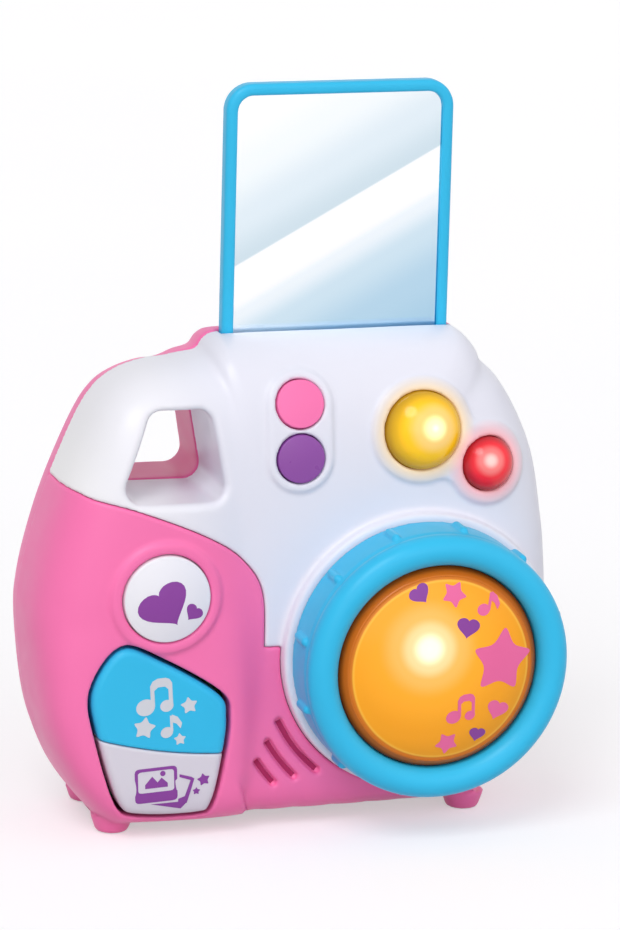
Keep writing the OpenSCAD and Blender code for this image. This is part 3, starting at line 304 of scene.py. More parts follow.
def front_form(grid):
    """Body and grip as one, with a soft fold that fades out to the left and bottom edges."""
    body, grip = swollen(grid, BODY), swollen(grid, GRIP)
    fade = np.clip((grid.x + HALF_W) / FOLD_FADE, LEAST_FADE, 1)
    rise = np.clip((grid.z - FOLD_FOOT) / FOLD_RISE, LEAST_FADE, 1)
    r = FOLD_R * fade * rise
    return np.minimum(body, grip) - np.maximum(r - np.abs(body - grip), 0) ** 2 / (4 * r)


def face_depth(at, form):
    """Depth of a form's face at a point of the front."""
    line, mid, _, depth, powers, bulge = form
    share, rise = gauge(line, mid, 0, at[0], at[1])
    return float(depth * (1 - share ** edge_power(rise, powers)) ** (1 / bulge))


def face_spot(at):
    """Point of the front face and its outward normal."""
    reach = 1.0
    across, up = np.array([reach, 0]), np.array([0, reach])
    slope_x = (face_depth(at + across, BODY) - face_depth(at - across, BODY)) / (2 * reach)
    slope_z = (face_depth(at + up, BODY) - face_depth(at - up, BODY)) / (2 * reach)
    normal = np.array([-slope_x, -1.0, -slope_z])
    return np.array([at[0], -face_depth(at, BODY), at[1]]), normal / np.linalg.norm(normal)


PINK_SPOT = face_spot(PINK_AT)
PURPLE_SPOT = face_spot(PURPLE_AT)
FLASH_SPOT = face_spot(FLASH_AT)
SIGNAL_SPOT = face_spot(SIGNAL_AT)
TO_FRONT = np.array([0.0, -1.0, 0.0])
HEART_SPOT = (np.array([HEART_AT[0], -face_depth(HEART_AT, GRIP), HEART_AT[1]]), TO_FRONT)
COLLAR_FRONT = face_depth(LENS_AT, BODY) + COLLAR_RISE


# Meshes from fields

CORNERS = [np.array([i, j, k]) for i in (0, 1) for j in (0, 1) for k in (0, 1)]


def sampled(field, points):
    """Values of a field between its samples."""
    base = np.clip(points.astype(int), 0, np.array(field.shape) - 2)
    part = points - base
    value = np.zeros(len(points))
    for corner in CORNERS:
        weight = np.prod(np.where(corner, part, 1 - part), axis=1)
        value += weight * field[tuple((base + corner).T)]
    return value


def net_points(field, cell):
    """Middle of the crossings of each cell's edges."""
    total = np.zeros((len(cell), 3))
    crossings = np.zeros(len(cell))
    for axis in range(3):
        for corner in CORNERS:
            if corner[axis]:
                continue
            start = cell + corner
            end = start.copy()
            end[:, axis] += 1
            a, b = field[tuple(start.T)], field[tuple(end.T)]
            crossed = (a < 0) != (b < 0)
            point = start[crossed].astype(float)
            point[:, axis] += a[crossed] / (a[crossed] - b[crossed])
            total[crossed] += point
            crossings[crossed] += 1
    return total / crossings[:, None]


def net_faces(inside, number):
    """Quads round every sample edge that the surface crosses."""
    faces = []
    for axis in range(3):
        u, v = (axis + 1) % 3, (axis + 2) % 3
        count = inside.shape[axis]
        first = np.take(inside, np.arange(count - 1), axis)
        second = np.take(inside, np.arange(1, count), axis)
        at = np.argwhere(first != second)
        back_u, back_v = np.eye(3, dtype=int)[u], np.eye(3, dtype=int)[v]
        ring = [at - back_u - back_v, at - back_v, at, at - back_u]
        quads = np.stack([number[tuple(cells.T)] for cells in ring], axis=1)
        outward = first[tuple(at.T)]
        faces.append(np.where(outward[:, None], quads, quads[:, ::-1]))
    return np.concatenate(faces)


def surface(field, grid):
    """Points, quads and normals of a field's zero surface."""
    inside = field < 0
    cells = tuple(n - 1 for n in field.shape)
    count = np.zeros(cells, np.int8)
    for i, j, k in CORNERS:
        count += inside[i:i + cells[0], j:j + cells[1], k:k + cells[2]]
    active = (count > 0) & (count < len(CORNERS))
    number = np.full(cells, -1)
    number[active] = np.arange(active.sum())
    points = net_points(field, np.argwhere(active))
    slopes = np.gradient(field)
    passes = 3
    farthest = 0.4
    for _ in range(passes):
        slope = np.stack([sampled(s, points) for s in slopes], axis=1)
        steep = np.maximum((slope ** 2).sum(axis=1, keepdims=True), 1e-6)
        points -= np.clip(sampled(field, points)[:, None] * slope / steep, -farthest, farthest)
    normals = np.stack([sampled(s, points) for s in slopes], axis=1)
    normals /= np.maximum(np.linalg.norm(normals, axis=1, keepdims=True), 1e-9)
    return grid.low + points * grid.step, net_faces(inside, number), normals


# Pieces

surfaces = {}


def piece(name, points, faces, material, body, nodes=(), normals=None):
    """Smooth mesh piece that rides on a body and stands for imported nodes."""
    mesh = bpy.data.meshes.new(name)
    placed = (np.asarray(points) + ORIGIN) * MM
    quads = [list(map(int, f)) for f in faces]
    mesh.from_pydata(placed.tolist(), [], quads)
    mesh.polygons.foreach_set("use_smooth", [True] * len(quads))
    mesh.update()
    if normals is not None:
        mesh.normals_split_custom_set_from_vertices(normals.tolist())
    mesh.materials.append(material)
    made = bpy.data.objects.new(name, mesh)
    bpy.context.scene.collection.objects.link(made)
    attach(made, body)
    if nodes:
        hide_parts(*nodes)
    surfaces[name] = (np.asarray(points).tolist(), quads)


def moulded(name, field, grid, slot, body, node, material=None):
    """Piece from a distance field, in the finish of its slot unless another is given."""
    points, faces, normals = surface(field, grid)
    piece(name, points, faces, material or finishes[slot], body, [node], normals)


# Most of a side that a rounded corner takes, and the place of the support points beside it
CORNER_SHARE = 0.45
SUPPORT_SHARE = 0.2


def softened(profile, r, steps=5):
    """Open profile with its inner corners rounded, and a support point to each side of them."""
    points = [np.asarray(p, float) for p in profile]
    line = [points[0]]
    for a, b, c in zip(points, points[1:], points[2:]):
        back, ahead = np.linalg.norm(b - a), np.linalg.norm(c - b)
        reach = min(r, back * CORNER_SHARE, ahead * CORNER_SHARE)
        start, end = b + (a - b) / back * reach, b + (c - b) / ahead * reach
        line.append(start + (a - b) / back * reach * SUPPORT_SHARE)
        for t in np.linspace(0, 1, steps):
            line.append((1 - t) ** 2 * start + 2 * t * (1 - t) * b + t ** 2 * end)
        line.append(end + (c - b) / ahead * reach * SUPPORT_SHARE)
    line.append(points[-1])
    return line


def crown(r, foot, h, steps=14):
    """Piece of a sphere of radius r at its foot, from the rim to the top."""
    ball = (r * r + h * h) / (2 * h)
    turns = np.linspace(math.asin(r / ball), 0, steps)
    return [(ball * math.sin(t), foot + h - ball + ball * math.cos(t)) for t in turns]


def turned(name, profile, spot, slot, body, node, sides=144):
    """Closed turned piece; its profile of (radius, height) goes from the lower to the upper pole."""
    point, normal = (Vector(v) for v in spot)
    across = normal.orthogonal().normalized()
    side = normal.cross(across)
    rings = profile[1:-1]
    points = [point + normal * profile[0][1]]
    for r, h in rings:
        for k in range(sides):
            turn = 2 * math.pi * k / sides
            points.append(point + normal * h + (across * math.cos(turn) + side * math.sin(turn)) * r)
    points.append(point + normal * profile[-1][1])
    faces = []
    last = len(points) - 1
    for k in range(sides):
        after = (k + 1) % sides
        faces.append((0, 1 + after, 1 + k))
        for j in range(len(rings) - 1):
            low, high = 1 + j * sides, 1 + (j + 1) * sides
            faces.append((low + k, low + after, high + after, high + k))
        faces.append((last - sides + k, last - sides + after, last))
    piece(name, [tuple(p) for p in points], faces, finishes[slot], body, [node])


# Finishes

def srgb(red, green, blue):
    """Linear colour of a screen colour from 0 to 255."""
    def linear(value):
        share = value / 255
        return share / 12.92 if share <= 0.04045 else ((share + 0.055) / 1.055) ** 2.4
    return linear(red), linear(green), linear(blue), 1.0


class Finish:
    """Node material about a Principled shader."""

    def __init__(self, name, **sockets):
        self.material = bpy.data.materials.new(name)
        self.material.use_nodes = True
        self.nodes = self.material.node_tree.nodes
        self.links = self.material.node_tree.links
        self.shader = self.nodes["Principled BSDF"]
        for socket, value in sockets.items():
            self.shader.inputs[socket.replace("_", " ")].default_value = value
        self.coordinates = self.nodes.new("ShaderNodeTexCoord").outputs["Object"]

    def node(self, kind, inputs=None, **settings):
        made = self.nodes.new(kind)
        for key, value in settings.items():
            setattr(made, key, value)
        for key, value in (inputs or {}).items():
            if isinstance(value, bpy.types.NodeSocket):
                self.links.new(value, made.inputs[key])
            else:
                made.inputs[key].default_value = value
        return made

    def set(self, socket, source):
        self.links.new(source, self.shader.inputs[socket])

    def noise(self, scale, detail=2.0):
        inputs = {"Vector": self.coordinates, "Scale": scale, "Detail": detail}
        return self.node("ShaderNodeTexNoise", inputs).outputs["Fac"]

    def ramp(self, source, stops, mode="EASE"):
        made = self.node("ShaderNodeValToRGB", {"Fac": source})
        made.color_ramp.interpolation = mode
        while len(made.color_ramp.elements) < len(stops):
            made.color_ramp.elements.new(1.0)
        for element, (at, color) in zip(made.color_ramp.elements, stops):
            element.position = at
            element.color = color
        return made.outputs["Color"]

    def spread(self, source, low, high, start=0.3, end=0.7):
        inputs = {"Value": source, "From Min": start, "From Max": end, "To Min": low, "To Max": high}
        return self.node("ShaderNodeMapRange", inputs).outputs["Result"]

    def distance(self, spot, reach):
        """Distance from a point of the toy, from 0 at the point to 1 at the reach."""
        centre = tuple((np.asarray(spot) + ORIGIN) * MM)
        inputs = {0: self.coordinates, 1: centre}
        length = self.node("ShaderNodeVectorMath", inputs, operation="DISTANCE").outputs["Value"]
        return self.spread(length, 0.0, 1.0, 0.0, reach * MM)

    def grain(self, strength, scale, depth=0.05):
        inputs = {"Strength": strength, "Distance": depth * MM, "Height": self.noise(scale, 3.0)}
        self.set("Normal", self.node("ShaderNodeBump", inputs).outputs["Normal"])


def tinted(color, share):
    return tuple(min(1.0, c * share) for c in color[:3]) + (1.0,)


def plastic(name, color, roughness, grain=0.15, vary=0.04, **sockets):
    """Moulded plastic: slight mottling, uneven gloss and a fine spark-eroded grain."""
    made = Finish(name, **sockets)
    cloud = made.noise(26.0)
    stops = [(0.3, tinted(color, 1 - vary)), (0.7, tinted(color, 1 + vary))]
    made.set("Base Color", made.ramp(cloud, stops, "LINEAR"))
    made.set("Roughness", made.spread(made.noise(140.0), roughness - 0.03, roughness + 0.05))
    made.grain(grain, 2600.0)
    return made


WHITE = srgb(240, 239, 246)
PINK = srgb(250, 118, 178)
BLUE = srgb(52, 190, 236)
PURPLE = srgb(140, 70, 160)


def white_plastic():
    """Off-white plastic with painted shade, whitest on the handle to the left and greyer and bluer towards
    the right, and a painted glow where the two lamps shine through round their domes.
    """
    made = plastic("white_plastic", WHITE, 0.34, Specular_IOR_Level=0.4)
    across = made.node("ShaderNodeSeparateXYZ", {0: made.coordinates}).outputs["X"]
    # Painted shade: the white is lightest on the handle to the left and greyer and bluer towards the middle
    # and right
    shade = made.ramp(made.spread(across, 0.0, 1.0, -HALF_W * MM, 0.0), [
        (0.0, srgb(251, 250, 249)), (0.35, srgb(238, 237, 244)), (0.75, srgb(230, 230, 242))])
    glow = 0.0
    # Painted glow of the two lamps on the white round their domes, in the base colour and as a faint emission
    halos = (
        (FLASH_SPOT[0], FLASH_R, 5.0, srgb(255, 218, 140)),
        (SIGNAL_SPOT[0], SIGNAL_R, 5.5, srgb(255, 150, 155)),
    )
    for spot, r, halo, color in halos:
        near = made.spread(made.distance(spot, r + halo), 0.8, 0.0, (r - 0.5) / (r + halo), 1.0)
        shade = made.node("ShaderNodeMix", {0: near, 6: shade, 7: color}, data_type="RGBA").outputs[2]
        glow = made.node("ShaderNodeMath", {0: near, 1: glow}, operation="ADD").outputs[0]
    made.set("Base Color", shade)
    made.set("Emission Color", shade)
    made.set("Emission Strength", made.spread(glow, 0.0, 0.14))
    return made.material


# Brightest place of the lens, its height above the collar, and the reach of its two colour ramps
HOT_SPOT = (31.4, 63.6)
HOT_RISE = 22
LENS_REACH = 40
GLOW_REACH = 48


def amber_plastic():
    """Lit amber lens: a bright spot where the lamp sits, and a dark bevel with a light edge."""
    made = Finish("amber_dome", Roughness=0.22, Specular_IOR_Level=0.3)
    axis = (LENS_AT[0], -COLLAR_FRONT - HOT_RISE, LENS_AT[1])
    reach = made.distance(axis, LENS_REACH)
    made.set("Base Color", made.ramp(reach, [
        (0.0, srgb(244, 166, 24)), (0.685, srgb(242, 160, 22)), (0.7, srgb(250, 186, 60)),
        (0.715, srgb(216, 118, 20)), (0.76, srgb(206, 104, 14)), (0.8, srgb(140, 64, 8))]))
    hot = (HOT_SPOT[0], axis[1], HOT_SPOT[1])
    made.set("Emission Color", made.ramp(made.distance(hot, GLOW_REACH), [
        (0.0, srgb(255, 255, 255)), (0.05, srgb(252, 248, 244)), (0.13, srgb(190, 176, 160)),
        (0.21, srgb(150, 122, 90)), (0.34, srgb(128, 84, 26)), (0.58, srgb(98, 58, 2)),
        (0.76, srgb(20, 6, 0))]))
    made.set("Emission Strength", made.spread(reach, 1.0, 0.1, 0.69, 0.72))
    made.grain(0.05, 900.0)
    return made.material


# Heights from which a dome's colour and bright core are measured, and their reach as shares of its radius
BODY_RISE = 3
CORE_RISE = 7
BODY_REACH = 1.35
CORE_REACH = 1.3


def lit_dome(name, spot, r, rim, body, core, shift):
    """Lit coloured dome with a bright core beside its middle and a darker rim."""
    made = Finish(name, Roughness=0.18, Specular_IOR_Level=0.35)
    top = spot[0] + spot[1] * BODY_RISE
    made.set("Base Color", made.ramp(made.distance(top, r * BODY_REACH), [
        (0.0, body), (0.5, tinted(body, 0.92)), (0.8, rim)]))
    hot = spot[0] + spot[1] * CORE_RISE + np.array([shift[0], 0, shift[1]])
    made.set("Emission Color", made.ramp(made.distance(hot, r * CORE_REACH), [
        (0.0, srgb(255, 255, 255)), (0.12, core), (0.32, tinted(core, 0.3)), (0.58, tinted(body, 0.4)),
        (0.8, tinted(body, 0.22)), (1.0, tinted(body, 0.08))]))
    made.shader.inputs["Emission Strength"].default_value = 1.0
    made.grain(0.04, 1200.0)
    return made.material


def mirror_silver():
    """Silvered sheet with a painted soft diagonal reflection: grey above a slanting edge, white and blue
    below.
    """
    made = Finish("mirror_sheet", Metallic=1.0, Roughness=0.08)
    side = made.node("ShaderNodeSeparateXYZ", {0: made.coordinates})
    edge_slope, edge_start = 0.55, 0.1815
    fade_below, fade_above, edge_half = 0.056, 0.045, 0.0004

    def math_node(operation, a, b, c=0.0):
        return made.node("ShaderNodeMath", {0: a, 1: b, 2: c}, operation=operation).outputs[0]

    # Slanting edge of the painted reflection, and its painted tones below and above the edge
    edge = math_node("MULTIPLY_ADD", side.outputs["X"], edge_slope, edge_start)
    over = math_node("SUBTRACT", side.outputs["Z"], edge)
    below = made.spread(over, 0.0, 1.0, -fade_below, 0.0)
    above = made.spread(over, 0.0, 1.0, 0.0, fade_above)
    low_tone = made.ramp(below, [
        (0.0, srgb(170, 206, 228)), (0.3, srgb(182, 213, 232)), (0.56, srgb(206, 227, 239)),
        (0.72, srgb(238, 245, 250)), (0.8, srgb(255, 255, 255))])
    high_tone = made.ramp(above, [
        (0.0, srgb(208, 225, 234)), (0.3, srgb(226, 238, 245)), (0.65, srgb(246, 251, 253)),
        (1.0, srgb(255, 255, 255))])
    share = made.spread(over, 0.0, 1.0, -edge_half, edge_half)
    tone = made.node("ShaderNodeMix", {0: share, 6: low_tone, 7: high_tone}, data_type="RGBA")
    made.set("Base Color", tone.outputs[2])
    made.grain(0.03, 60.0, 0.02)
    return made.material


def metal(name, color, roughness):
    """Plated steel with fine scratches."""
    made = Finish(name, Metallic=1.0)
    made.set("Base Color", made.ramp(made.noise(90.0), [(0.3, tinted(color, 0.9)), (0.7, color)], "LINEAR"))
    made.set("Roughness", made.spread(made.noise(400.0), roughness - 0.06, roughness + 0.1))
    made.grain(0.2, 3000.0)
    return made.material


def circuit_board():
    """Green board with paler tracks."""
    made = Finish("circuit_board", Roughness=0.4)
    inputs = {"Vector": made.coordinates, "Scale": 260.0}
    cells = made.node("ShaderNodeTexVoronoi", inputs, feature="DISTANCE_TO_EDGE")
    stops = [(0.04, srgb(80, 150, 95)), (0.08, srgb(38, 104, 66))]
    made.set("Base Color", made.ramp(cells.outputs["Distance"], stops, "LINEAR"))
    made.grain(0.1, 1500.0)
    return made.material


def felt():
    made = Finish("felt", Sheen_Weight=0.6, Roughness=0.95)
    stops = [(0.3, srgb(38, 38, 44)), (0.7, srgb(78, 78, 86))]
    made.set("Base Color", made.ramp(made.noise(900.0, 5.0), stops))
    made.grain(0.9, 2400.0, 0.3)
    return made.material


finishes = {
    "white_plastic": white_plastic(),
    "pink_plastic": plastic("pink_plastic", PINK, 0.38, vary=0.02, Specular_IOR_Level=0.4).material,
    "blue_plastic": plastic("blue_plastic", BLUE, 0.34, 0.02, 0.02, Specular_IOR_Level=0.25).material,
    "purple_plastic": plastic("purple_plastic", PURPLE, 0.3).material,
    "mirror_sheet": mirror_silver(),
    "amber_dome": amber_plastic(),
    "yellow_dome": lit_dome("yellow_dome", FLASH_SPOT, FLASH_R,
                            srgb(164, 122, 8), srgb(240, 186, 16), srgb(255, 236, 205), (1.5, 1.6)),
    "red_dome": lit_dome("red_dome", SIGNAL_SPOT, SIGNAL_R,
                         srgb(140, 10, 24), srgb(226, 36, 50), srgb(255, 214, 206), (-1.8, 1.9)),
    "inner_plastic": plastic("inner_plastic", srgb(222, 218, 226), 0.45).material,
    "felt": felt(),
    "lamp": plastic("lamp", srgb(250, 240, 200), 0.12,
                    Emission_Color=srgb(255, 230, 150), Emission_Strength=0.6).material,
    "contact_rubber": plastic("contact_rubber", srgb(205, 200, 196), 0.7, 0.4).material,
    "pawl_plastic": plastic("pawl_plastic", srgb(232, 224, 205), 0.4).material,
    "circuit_board": circuit_board(),
    "dark_plastic": plastic("dark_plastic", srgb(48, 47, 54), 0.42, 0.3, 0.08).material,
    "cone_paper": plastic("cone_paper", srgb(72, 66, 60), 0.85, 0.8, 0.12).material,
    "cell_wrap": plastic("cell_wrap", srgb(58, 63, 74), 0.25, 0.1).material,
    "steel": metal("steel", srgb(190, 193, 200), 0.3),
}
# Greyer copy of the white plastic for the lower key: painted shade
key_white_painted_shade = plastic("key_white_painted_shade", srgb(218, 213, 224), 0.34, vary=0.012, Specular_IOR_Level=0.4).material
# Dark pink sheet at the bottom of the sound slots: painted shade
slot_shade_pink = plastic("slot_shade_pink", srgb(172, 34, 96), 0.8, 0.6, 0.1).material


def ink(name, color):
    return plastic(name, color, 0.35, 0.05, Specular_IOR_Level=0.3).material


print_pink = ink("print_pink", srgb(240, 108, 164))
print_purple = ink("print_purple", srgb(140, 66, 158))
print_grey = ink("print_grey", srgb(212, 214, 222))


# Shells

# Sample steps of the fields, and the room round them
SHELL_STEP = 0.8
REAR_STEP = 0.95
FINE_STEP = 0.5
RING_STEP = 0.55
MIRROR_STEP = 0.6
SCREW_STEP = 0.3
MARGIN = 3.0

# Widths of the raised pads round buttons and lights, and the fillet between the two lights
DOT_PAD = 3.0
LIGHT_PAD = 4.3
HEART_PAD = 3.9
PAD_WAIST = 5.0

# Rounded edges, and half the line between the two front shells
PAD_EDGE = 1.0
COLLAR_EDGE = 1.5
COLLAR_FILLET = 1.0
FOOT_EDGE = 0.8
RIM_R = 2.6
HOLE_EDGE = 0.6
SPLIT_EDGE = 0.5
PART_EDGE = 0.9
SEAM_LINE = 0.06


def hole_area(grid):
    return polygon_distance(np.array(places(HOLE_SHARES)), grid.x, grid.z) - HOLE_R


def white_area(grid):
    """The white front: everything above the seam, and the lens collar."""
    seam = smooth_loop(places(SEAM_SHARES), closed=False, steps=6)
    level = place((0, SEAM_LEVEL_SHARE))[1]
    far = 2 * HALF_W
    around = [(seam[-1][0], level), (far, level), (far, 2 * BODY_H), (-far, 2 * BODY_H)]
    line = np.concatenate([seam, np.array(around)])
    return np.minimum(polygon_distance(line, grid.x, grid.z), from_axis(grid, LENS_AT) - COLLAR_R)


def mirror_slot(grid):
    low, high = local_box("mirror_frame")
    middle, half = (low[0] + high[0]) / 2, (high[0] - low[0]) / 2 + SLIDE_GAP
    set_back = local_box("mirror_sheet")[0][1] - BEZEL_T
    rear = local_box("mirror_back")[1][1]
    return np.maximum(
        np.maximum(np.abs(grid.x - middle) - half, low[2] - grid.z),
        np.maximum(set_back - SLIDE_GAP - grid.y, grid.y - rear - SLIDE_GAP))


def foot_form(grid, side, y):
    rad = np.hypot(grid.x - side * FOOT_SHARE[0] * HALF_W, grid.y - y)
    wall = rad - FOOT_R - FOOT_FLARE * grid.z / FOOT_H
    return np.maximum(meet(wall, -grid.z, FOOT_EDGE), grid.z - FOOT_H - WALL)


def front_shell():
    grid = Grid((-HALF_W - MARGIN, -COLLAR_FRONT - MARGIN, COLLAR_LOW - MARGIN),
                (HALF_W + MARGIN, MARGIN, BODY_H + MARGIN), SHELL_STEP)
    form = front_form(grid)
    hole = hole_area(grid)
    lens = from_axis(grid, LENS_AT)
    dots = polygon_distance(np.array([PINK_AT, PURPLE_AT]), grid.x, grid.z)
    dot_pad = np.abs(dots) - DOT_R - DOT_PAD
    flash_pad = from_axis(grid, FLASH_AT) - FLASH_R - LIGHT_PAD
    signal_pad = from_axis(grid, SIGNAL_AT) - SIGNAL_R - LIGHT_PAD
    light_pad = join(flash_pad, signal_pad, PAD_WAIST)
    outer = form
    for pad in (dot_pad, light_pad):
        outer = join(outer, meet(form - PAD_RISE, pad, PAD_EDGE), PAD_EDGE)
    collar = np.maximum(meet(lens - COLLAR_R, -grid.y - COLLAR_FRONT, COLLAR_EDGE), grid.y + COLLAR_LOW)
    outer = cut(join(outer, collar, COLLAR_FILLET), hole, RIM_R)
    shell = np.maximum(outer, -np.maximum(form + WALL, WALL - hole))
    shell = np.maximum(shell, BEARING_R + SEAM_GAP - lens)
    for spot, r in ((PINK_SPOT, DOT_R), (PURPLE_SPOT, DOT_R), (FLASH_SPOT, FLASH_R), (SIGNAL_SPOT, SIGNAL_R)):
        shell = cut(shell, from_normal(grid, spot) - r - BUTTON_GAP, HOLE_EDGE)
    shell = meet(shell, white_area(grid) + SEAM_LINE, SPLIT_EDGE)
    shell = cut(meet(shell, grid.y, PART_EDGE), mirror_slot(grid), HOLE_EDGE)
    moulded("front_shell_skin", shell, grid, "white_plastic", "root", "front_shell")


# Sound slots: the turn of their middle about the lens, their spans, and the radius of the first
SLOT_TURN = 217.5
SLOT_SPANS = (24.4, 15.2, 8.8)
SLOT_FIRST_R = COLLAR_R + SLOT_PITCH - SLOT_W / 2


def sound_slots(grid):
    """Three arcs about the lens."""
    turn = np.degrees(np.arctan2(grid.z - LENS_AT[1], grid.x - LENS_AT[0])) % 360
    lens = from_axis(grid, LENS_AT)
    nearest = np.inf
    for i, span in enumerate(SLOT_SPANS):
        r = SLOT_FIRST_R + i * SLOT_PITCH
        off = np.radians(np.maximum(np.abs(turn - SLOT_TURN) - span / 2, 0))
        nearest = np.minimum(nearest, np.sqrt(lens ** 2 + r ** 2 - 2 * lens * r * np.cos(off)))
    return nearest - SLOT_W / 2


# Top of the lower shell's field, as a share of the shell's height
LOWER_TOP = 0.76
# Wall round the rocker, its step below the face, and the depth where it ends
WELL_WALL = 1.4
WELL_STEP = 0.4
WELL_DEPTH = 24.5
# Depth of a sound slot above its sheet of painted shade, and the block behind the slots: its border, top and
# bottom
SLOT_DEPTH = 1.9
BACKING_BORDER = 2.5
BACKING_TOP = 1.0
BACKING_LOW = 4.4


def lower_front_shell():
    grid = Grid((-HALF_W - MARGIN, -GRIP_D - MARGIN, -MARGIN),
                (HALF_W + MARGIN, MARGIN, place((0, LOWER_TOP))[1]), SHELL_STEP)
    form = front_form(grid)
    heart = from_axis(grid, HEART_AT)
    outer = join(form, meet(form - PAD_RISE, heart - HEART_R - HEART_PAD, PAD_EDGE), PAD_EDGE)
    rocker = polygon_distance(ROCKER_LINE, grid.x, grid.z) - ROCKER_GAP
    shell = np.maximum(outer, -form - WALL)
    well = np.maximum(np.maximum(form + WELL_STEP, rocker - WELL_WALL), grid.y + WELL_DEPTH)
    shell = cut(np.minimum(shell, well), np.maximum(rocker, grid.y + FRONT_D / 2), HOLE_EDGE)
    shell = cut(shell, heart - HEART_R - BUTTON_GAP, HOLE_EDGE)
    slots = sound_slots(grid)
    backing = np.maximum(np.maximum(slots - BACKING_BORDER, form + BACKING_TOP), -form - BACKING_LOW)
    shell = np.minimum(shell, backing)
    shell = cut(shell, np.maximum(slots, -form - SLOT_DEPTH), HOLE_EDGE)
    shell = cut(shell, white_area(grid) - SEAM_LINE, SPLIT_EDGE)
    shell = meet(shell, grid.y, PART_EDGE)
    for side in (-1, 1):
        shell = join(shell, foot_form(grid, side, -FOOT_SHARE[1] * FRONT_D), FOOT_EDGE)
    moulded("lower_shell_skin", shell, grid, "pink_plastic", "root", "lower_front_shell")


# Screws, the wall round their heads, and the depth of the seat that the case screws reach
SCREW_R = 1.5
HEAD_R = 2.8
HEAD_T = 1.6
HEAD_GAP = 0.4
HEAD_SEAT = 8.0
POST_WALL = 2.2

# Battery bay and its door, with the screw ear and its hole
BAY_WALL = 1.6
BAY_GAP = 0.3
DOOR_GAP = 0.3
DOOR_CORNER = 2.0
DOOR_EDGE = 0.5
SEAT_EDGE = 0.4
EAR_R = 5.0
EAR_FILLET = 0.8
EAR_HOLE_R = 1.6

# Dish and slot of the power knob: half width, half height and corner
KNOB_DISH = (9.0, 5.0, 4.0)
KNOB_SLOT = (5.0, 2.4, 0.6)
DISH_DEPTH = 0.8
DISH_EDGE = 0.5
SLOT_EDGE = 0.4

door_low, door_high = local_box("battery_door")
bay_low = np.array([door_low[0] - DOOR_GAP, local_box("batteries")[0][1] - BAY_GAP, door_low[2] - DOOR_GAP])
bay_high = np.array([door_high[0] + DOOR_GAP, REAR_D + MARGIN, 2 * BAY_Z - bay_low[2]])
EAR_AT = np.array([0.0, door_high[2] + DOOR_GAP - EAR_R])
EAR_Y = face_depth(EAR_AT, REAR) - WALL


def door_area(grid, gap):
    """The battery door with its screw ear."""
    half_h = (bay_high[2] - bay_low[2]) / 2
    panel = round_box(grid.x, grid.z - BAY_Z, bay_high[0] - gap, half_h - gap, DOOR_CORNER)
    neck = np.maximum(np.abs(grid.x) - EAR_R / 2 + gap, np.maximum(BAY_Z - grid.z, grid.z - EAR_AT[1]))
    return join(np.minimum(panel, neck), from_axis(grid, EAR_AT) - EAR_R + gap, EAR_FILLET)


def rear_shell():
    grid = Grid((-HALF_W - MARGIN, -MARGIN, -MARGIN),
                (HALF_W + MARGIN, REAR_D + MARGIN, BODY_H + MARGIN), REAR_STEP)
    form = swollen(grid, REAR)
    hole = hole_area(grid)
    outer = cut(form, hole, RIM_R)
    shell = np.maximum(outer, -np.maximum(form + WALL, WALL - hole))
    within = form + WALL / 2
    for at in SCREW_PLACES:
        shell = np.minimum(shell, np.maximum(within, from_axis(grid, at) - HEAD_R - POST_WALL))
    shell = np.minimum(shell, np.maximum(within, box_distance(grid, bay_low - BAY_WALL, bay_high + BAY_WALL)))
    ear = np.maximum(from_axis(grid, EAR_AT) - EAR_R, bay_low[1] - grid.y)
    shell = np.minimum(shell, np.maximum(within, ear))
    shell = np.maximum(shell, -box_distance(grid, bay_low, bay_high))
    shell = cut(shell, np.maximum(door_area(grid, 0), EAR_Y - DOOR_GAP - grid.y), DOOR_EDGE)
    for at in SCREW_PLACES:
        shell = cut(shell, np.maximum(from_axis(grid, at) - HEAD_R - HEAD_GAP, HEAD_SEAT - grid.y), HOLE_EDGE)
    knob = (grid.x - KNOB_AT[0], grid.z - KNOB_AT[1])
    shell = cut(shell, np.maximum(round_box(*knob, *KNOB_DISH), -form - DISH_DEPTH), DISH_EDGE)
    shell = cut(shell, round_box(*knob, *KNOB_SLOT), SLOT_EDGE)
    shell = cut(meet(shell, -grid.y, PART_EDGE), mirror_slot(grid), HOLE_EDGE)
    for side in (-1, 1):
        shell = join(shell, foot_form(grid, side, FOOT_SHARE[1] * REAR_D), FOOT_EDGE)
    moulded("rear_shell_skin", shell, grid, "pink_plastic", "root", "rear_shell")


def battery_door():
    grid = Grid(door_low - MARGIN, door_high + MARGIN, FINE_STEP)
    form = swollen(grid, REAR)
    door = meet(np.maximum(form, -form - WALL), door_area(grid, DOOR_GAP), DOOR_EDGE)
    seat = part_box("door_screw")[1].y / MM - ORIGIN[1] - HEAD_T
    ear = from_axis(grid, EAR_AT)
    door = np.maximum(door, EAR_HOLE_R - ear)
    door = cut(door, np.maximum(ear - HEAD_R - HEAD_GAP, seat - grid.y), SEAT_EDGE)
    moulded("battery_door_skin", door, grid, "pink_plastic", "door", "battery_door")


front_shell()
lower_front_shell()
rear_shell()
battery_door()


# Lens

# Grip ribs on the ring, and the fine line where its round nose begins
RIB_COUNT = 12
RIB_TURN = 18.0
RIB_R = 1.45
RIB_SPAN = (2.8, 12.6)
RIB_LIFT = 0.1
RIB_FILLET = 0.15
RING_LINE_AT = 14.4
RING_LINE_R = 1.6
RING_LINE_DEPTH = 0.35
RING_LINE_EDGE = 0.3

# Inside of the ring: the gap behind it, its bore, its running face and its lip, and the gap round the dome
RING_BACK = 0.3
BORE_R = 38.0
BORE_DEPTH = 4.0
RUN_GAP = 0.1
LIP_AT = 10.0
LIP_R = 30.1
LIP_T = 3.7
CAP_GAP = 0.3
NOSE_POINTS = 25

# Dome: its foot, flange and wall, the bevel above them and the domed face
CAP_FOOT_R = 27.5
CAP_FLANGE = 4.0
CAP_WALL = 2.0
BEVEL_R = 29.4
BEVEL_H = 2.7
BEVEL_EDGE = 0.7
DOME_R = 28.8
DOME_SIDES = 192


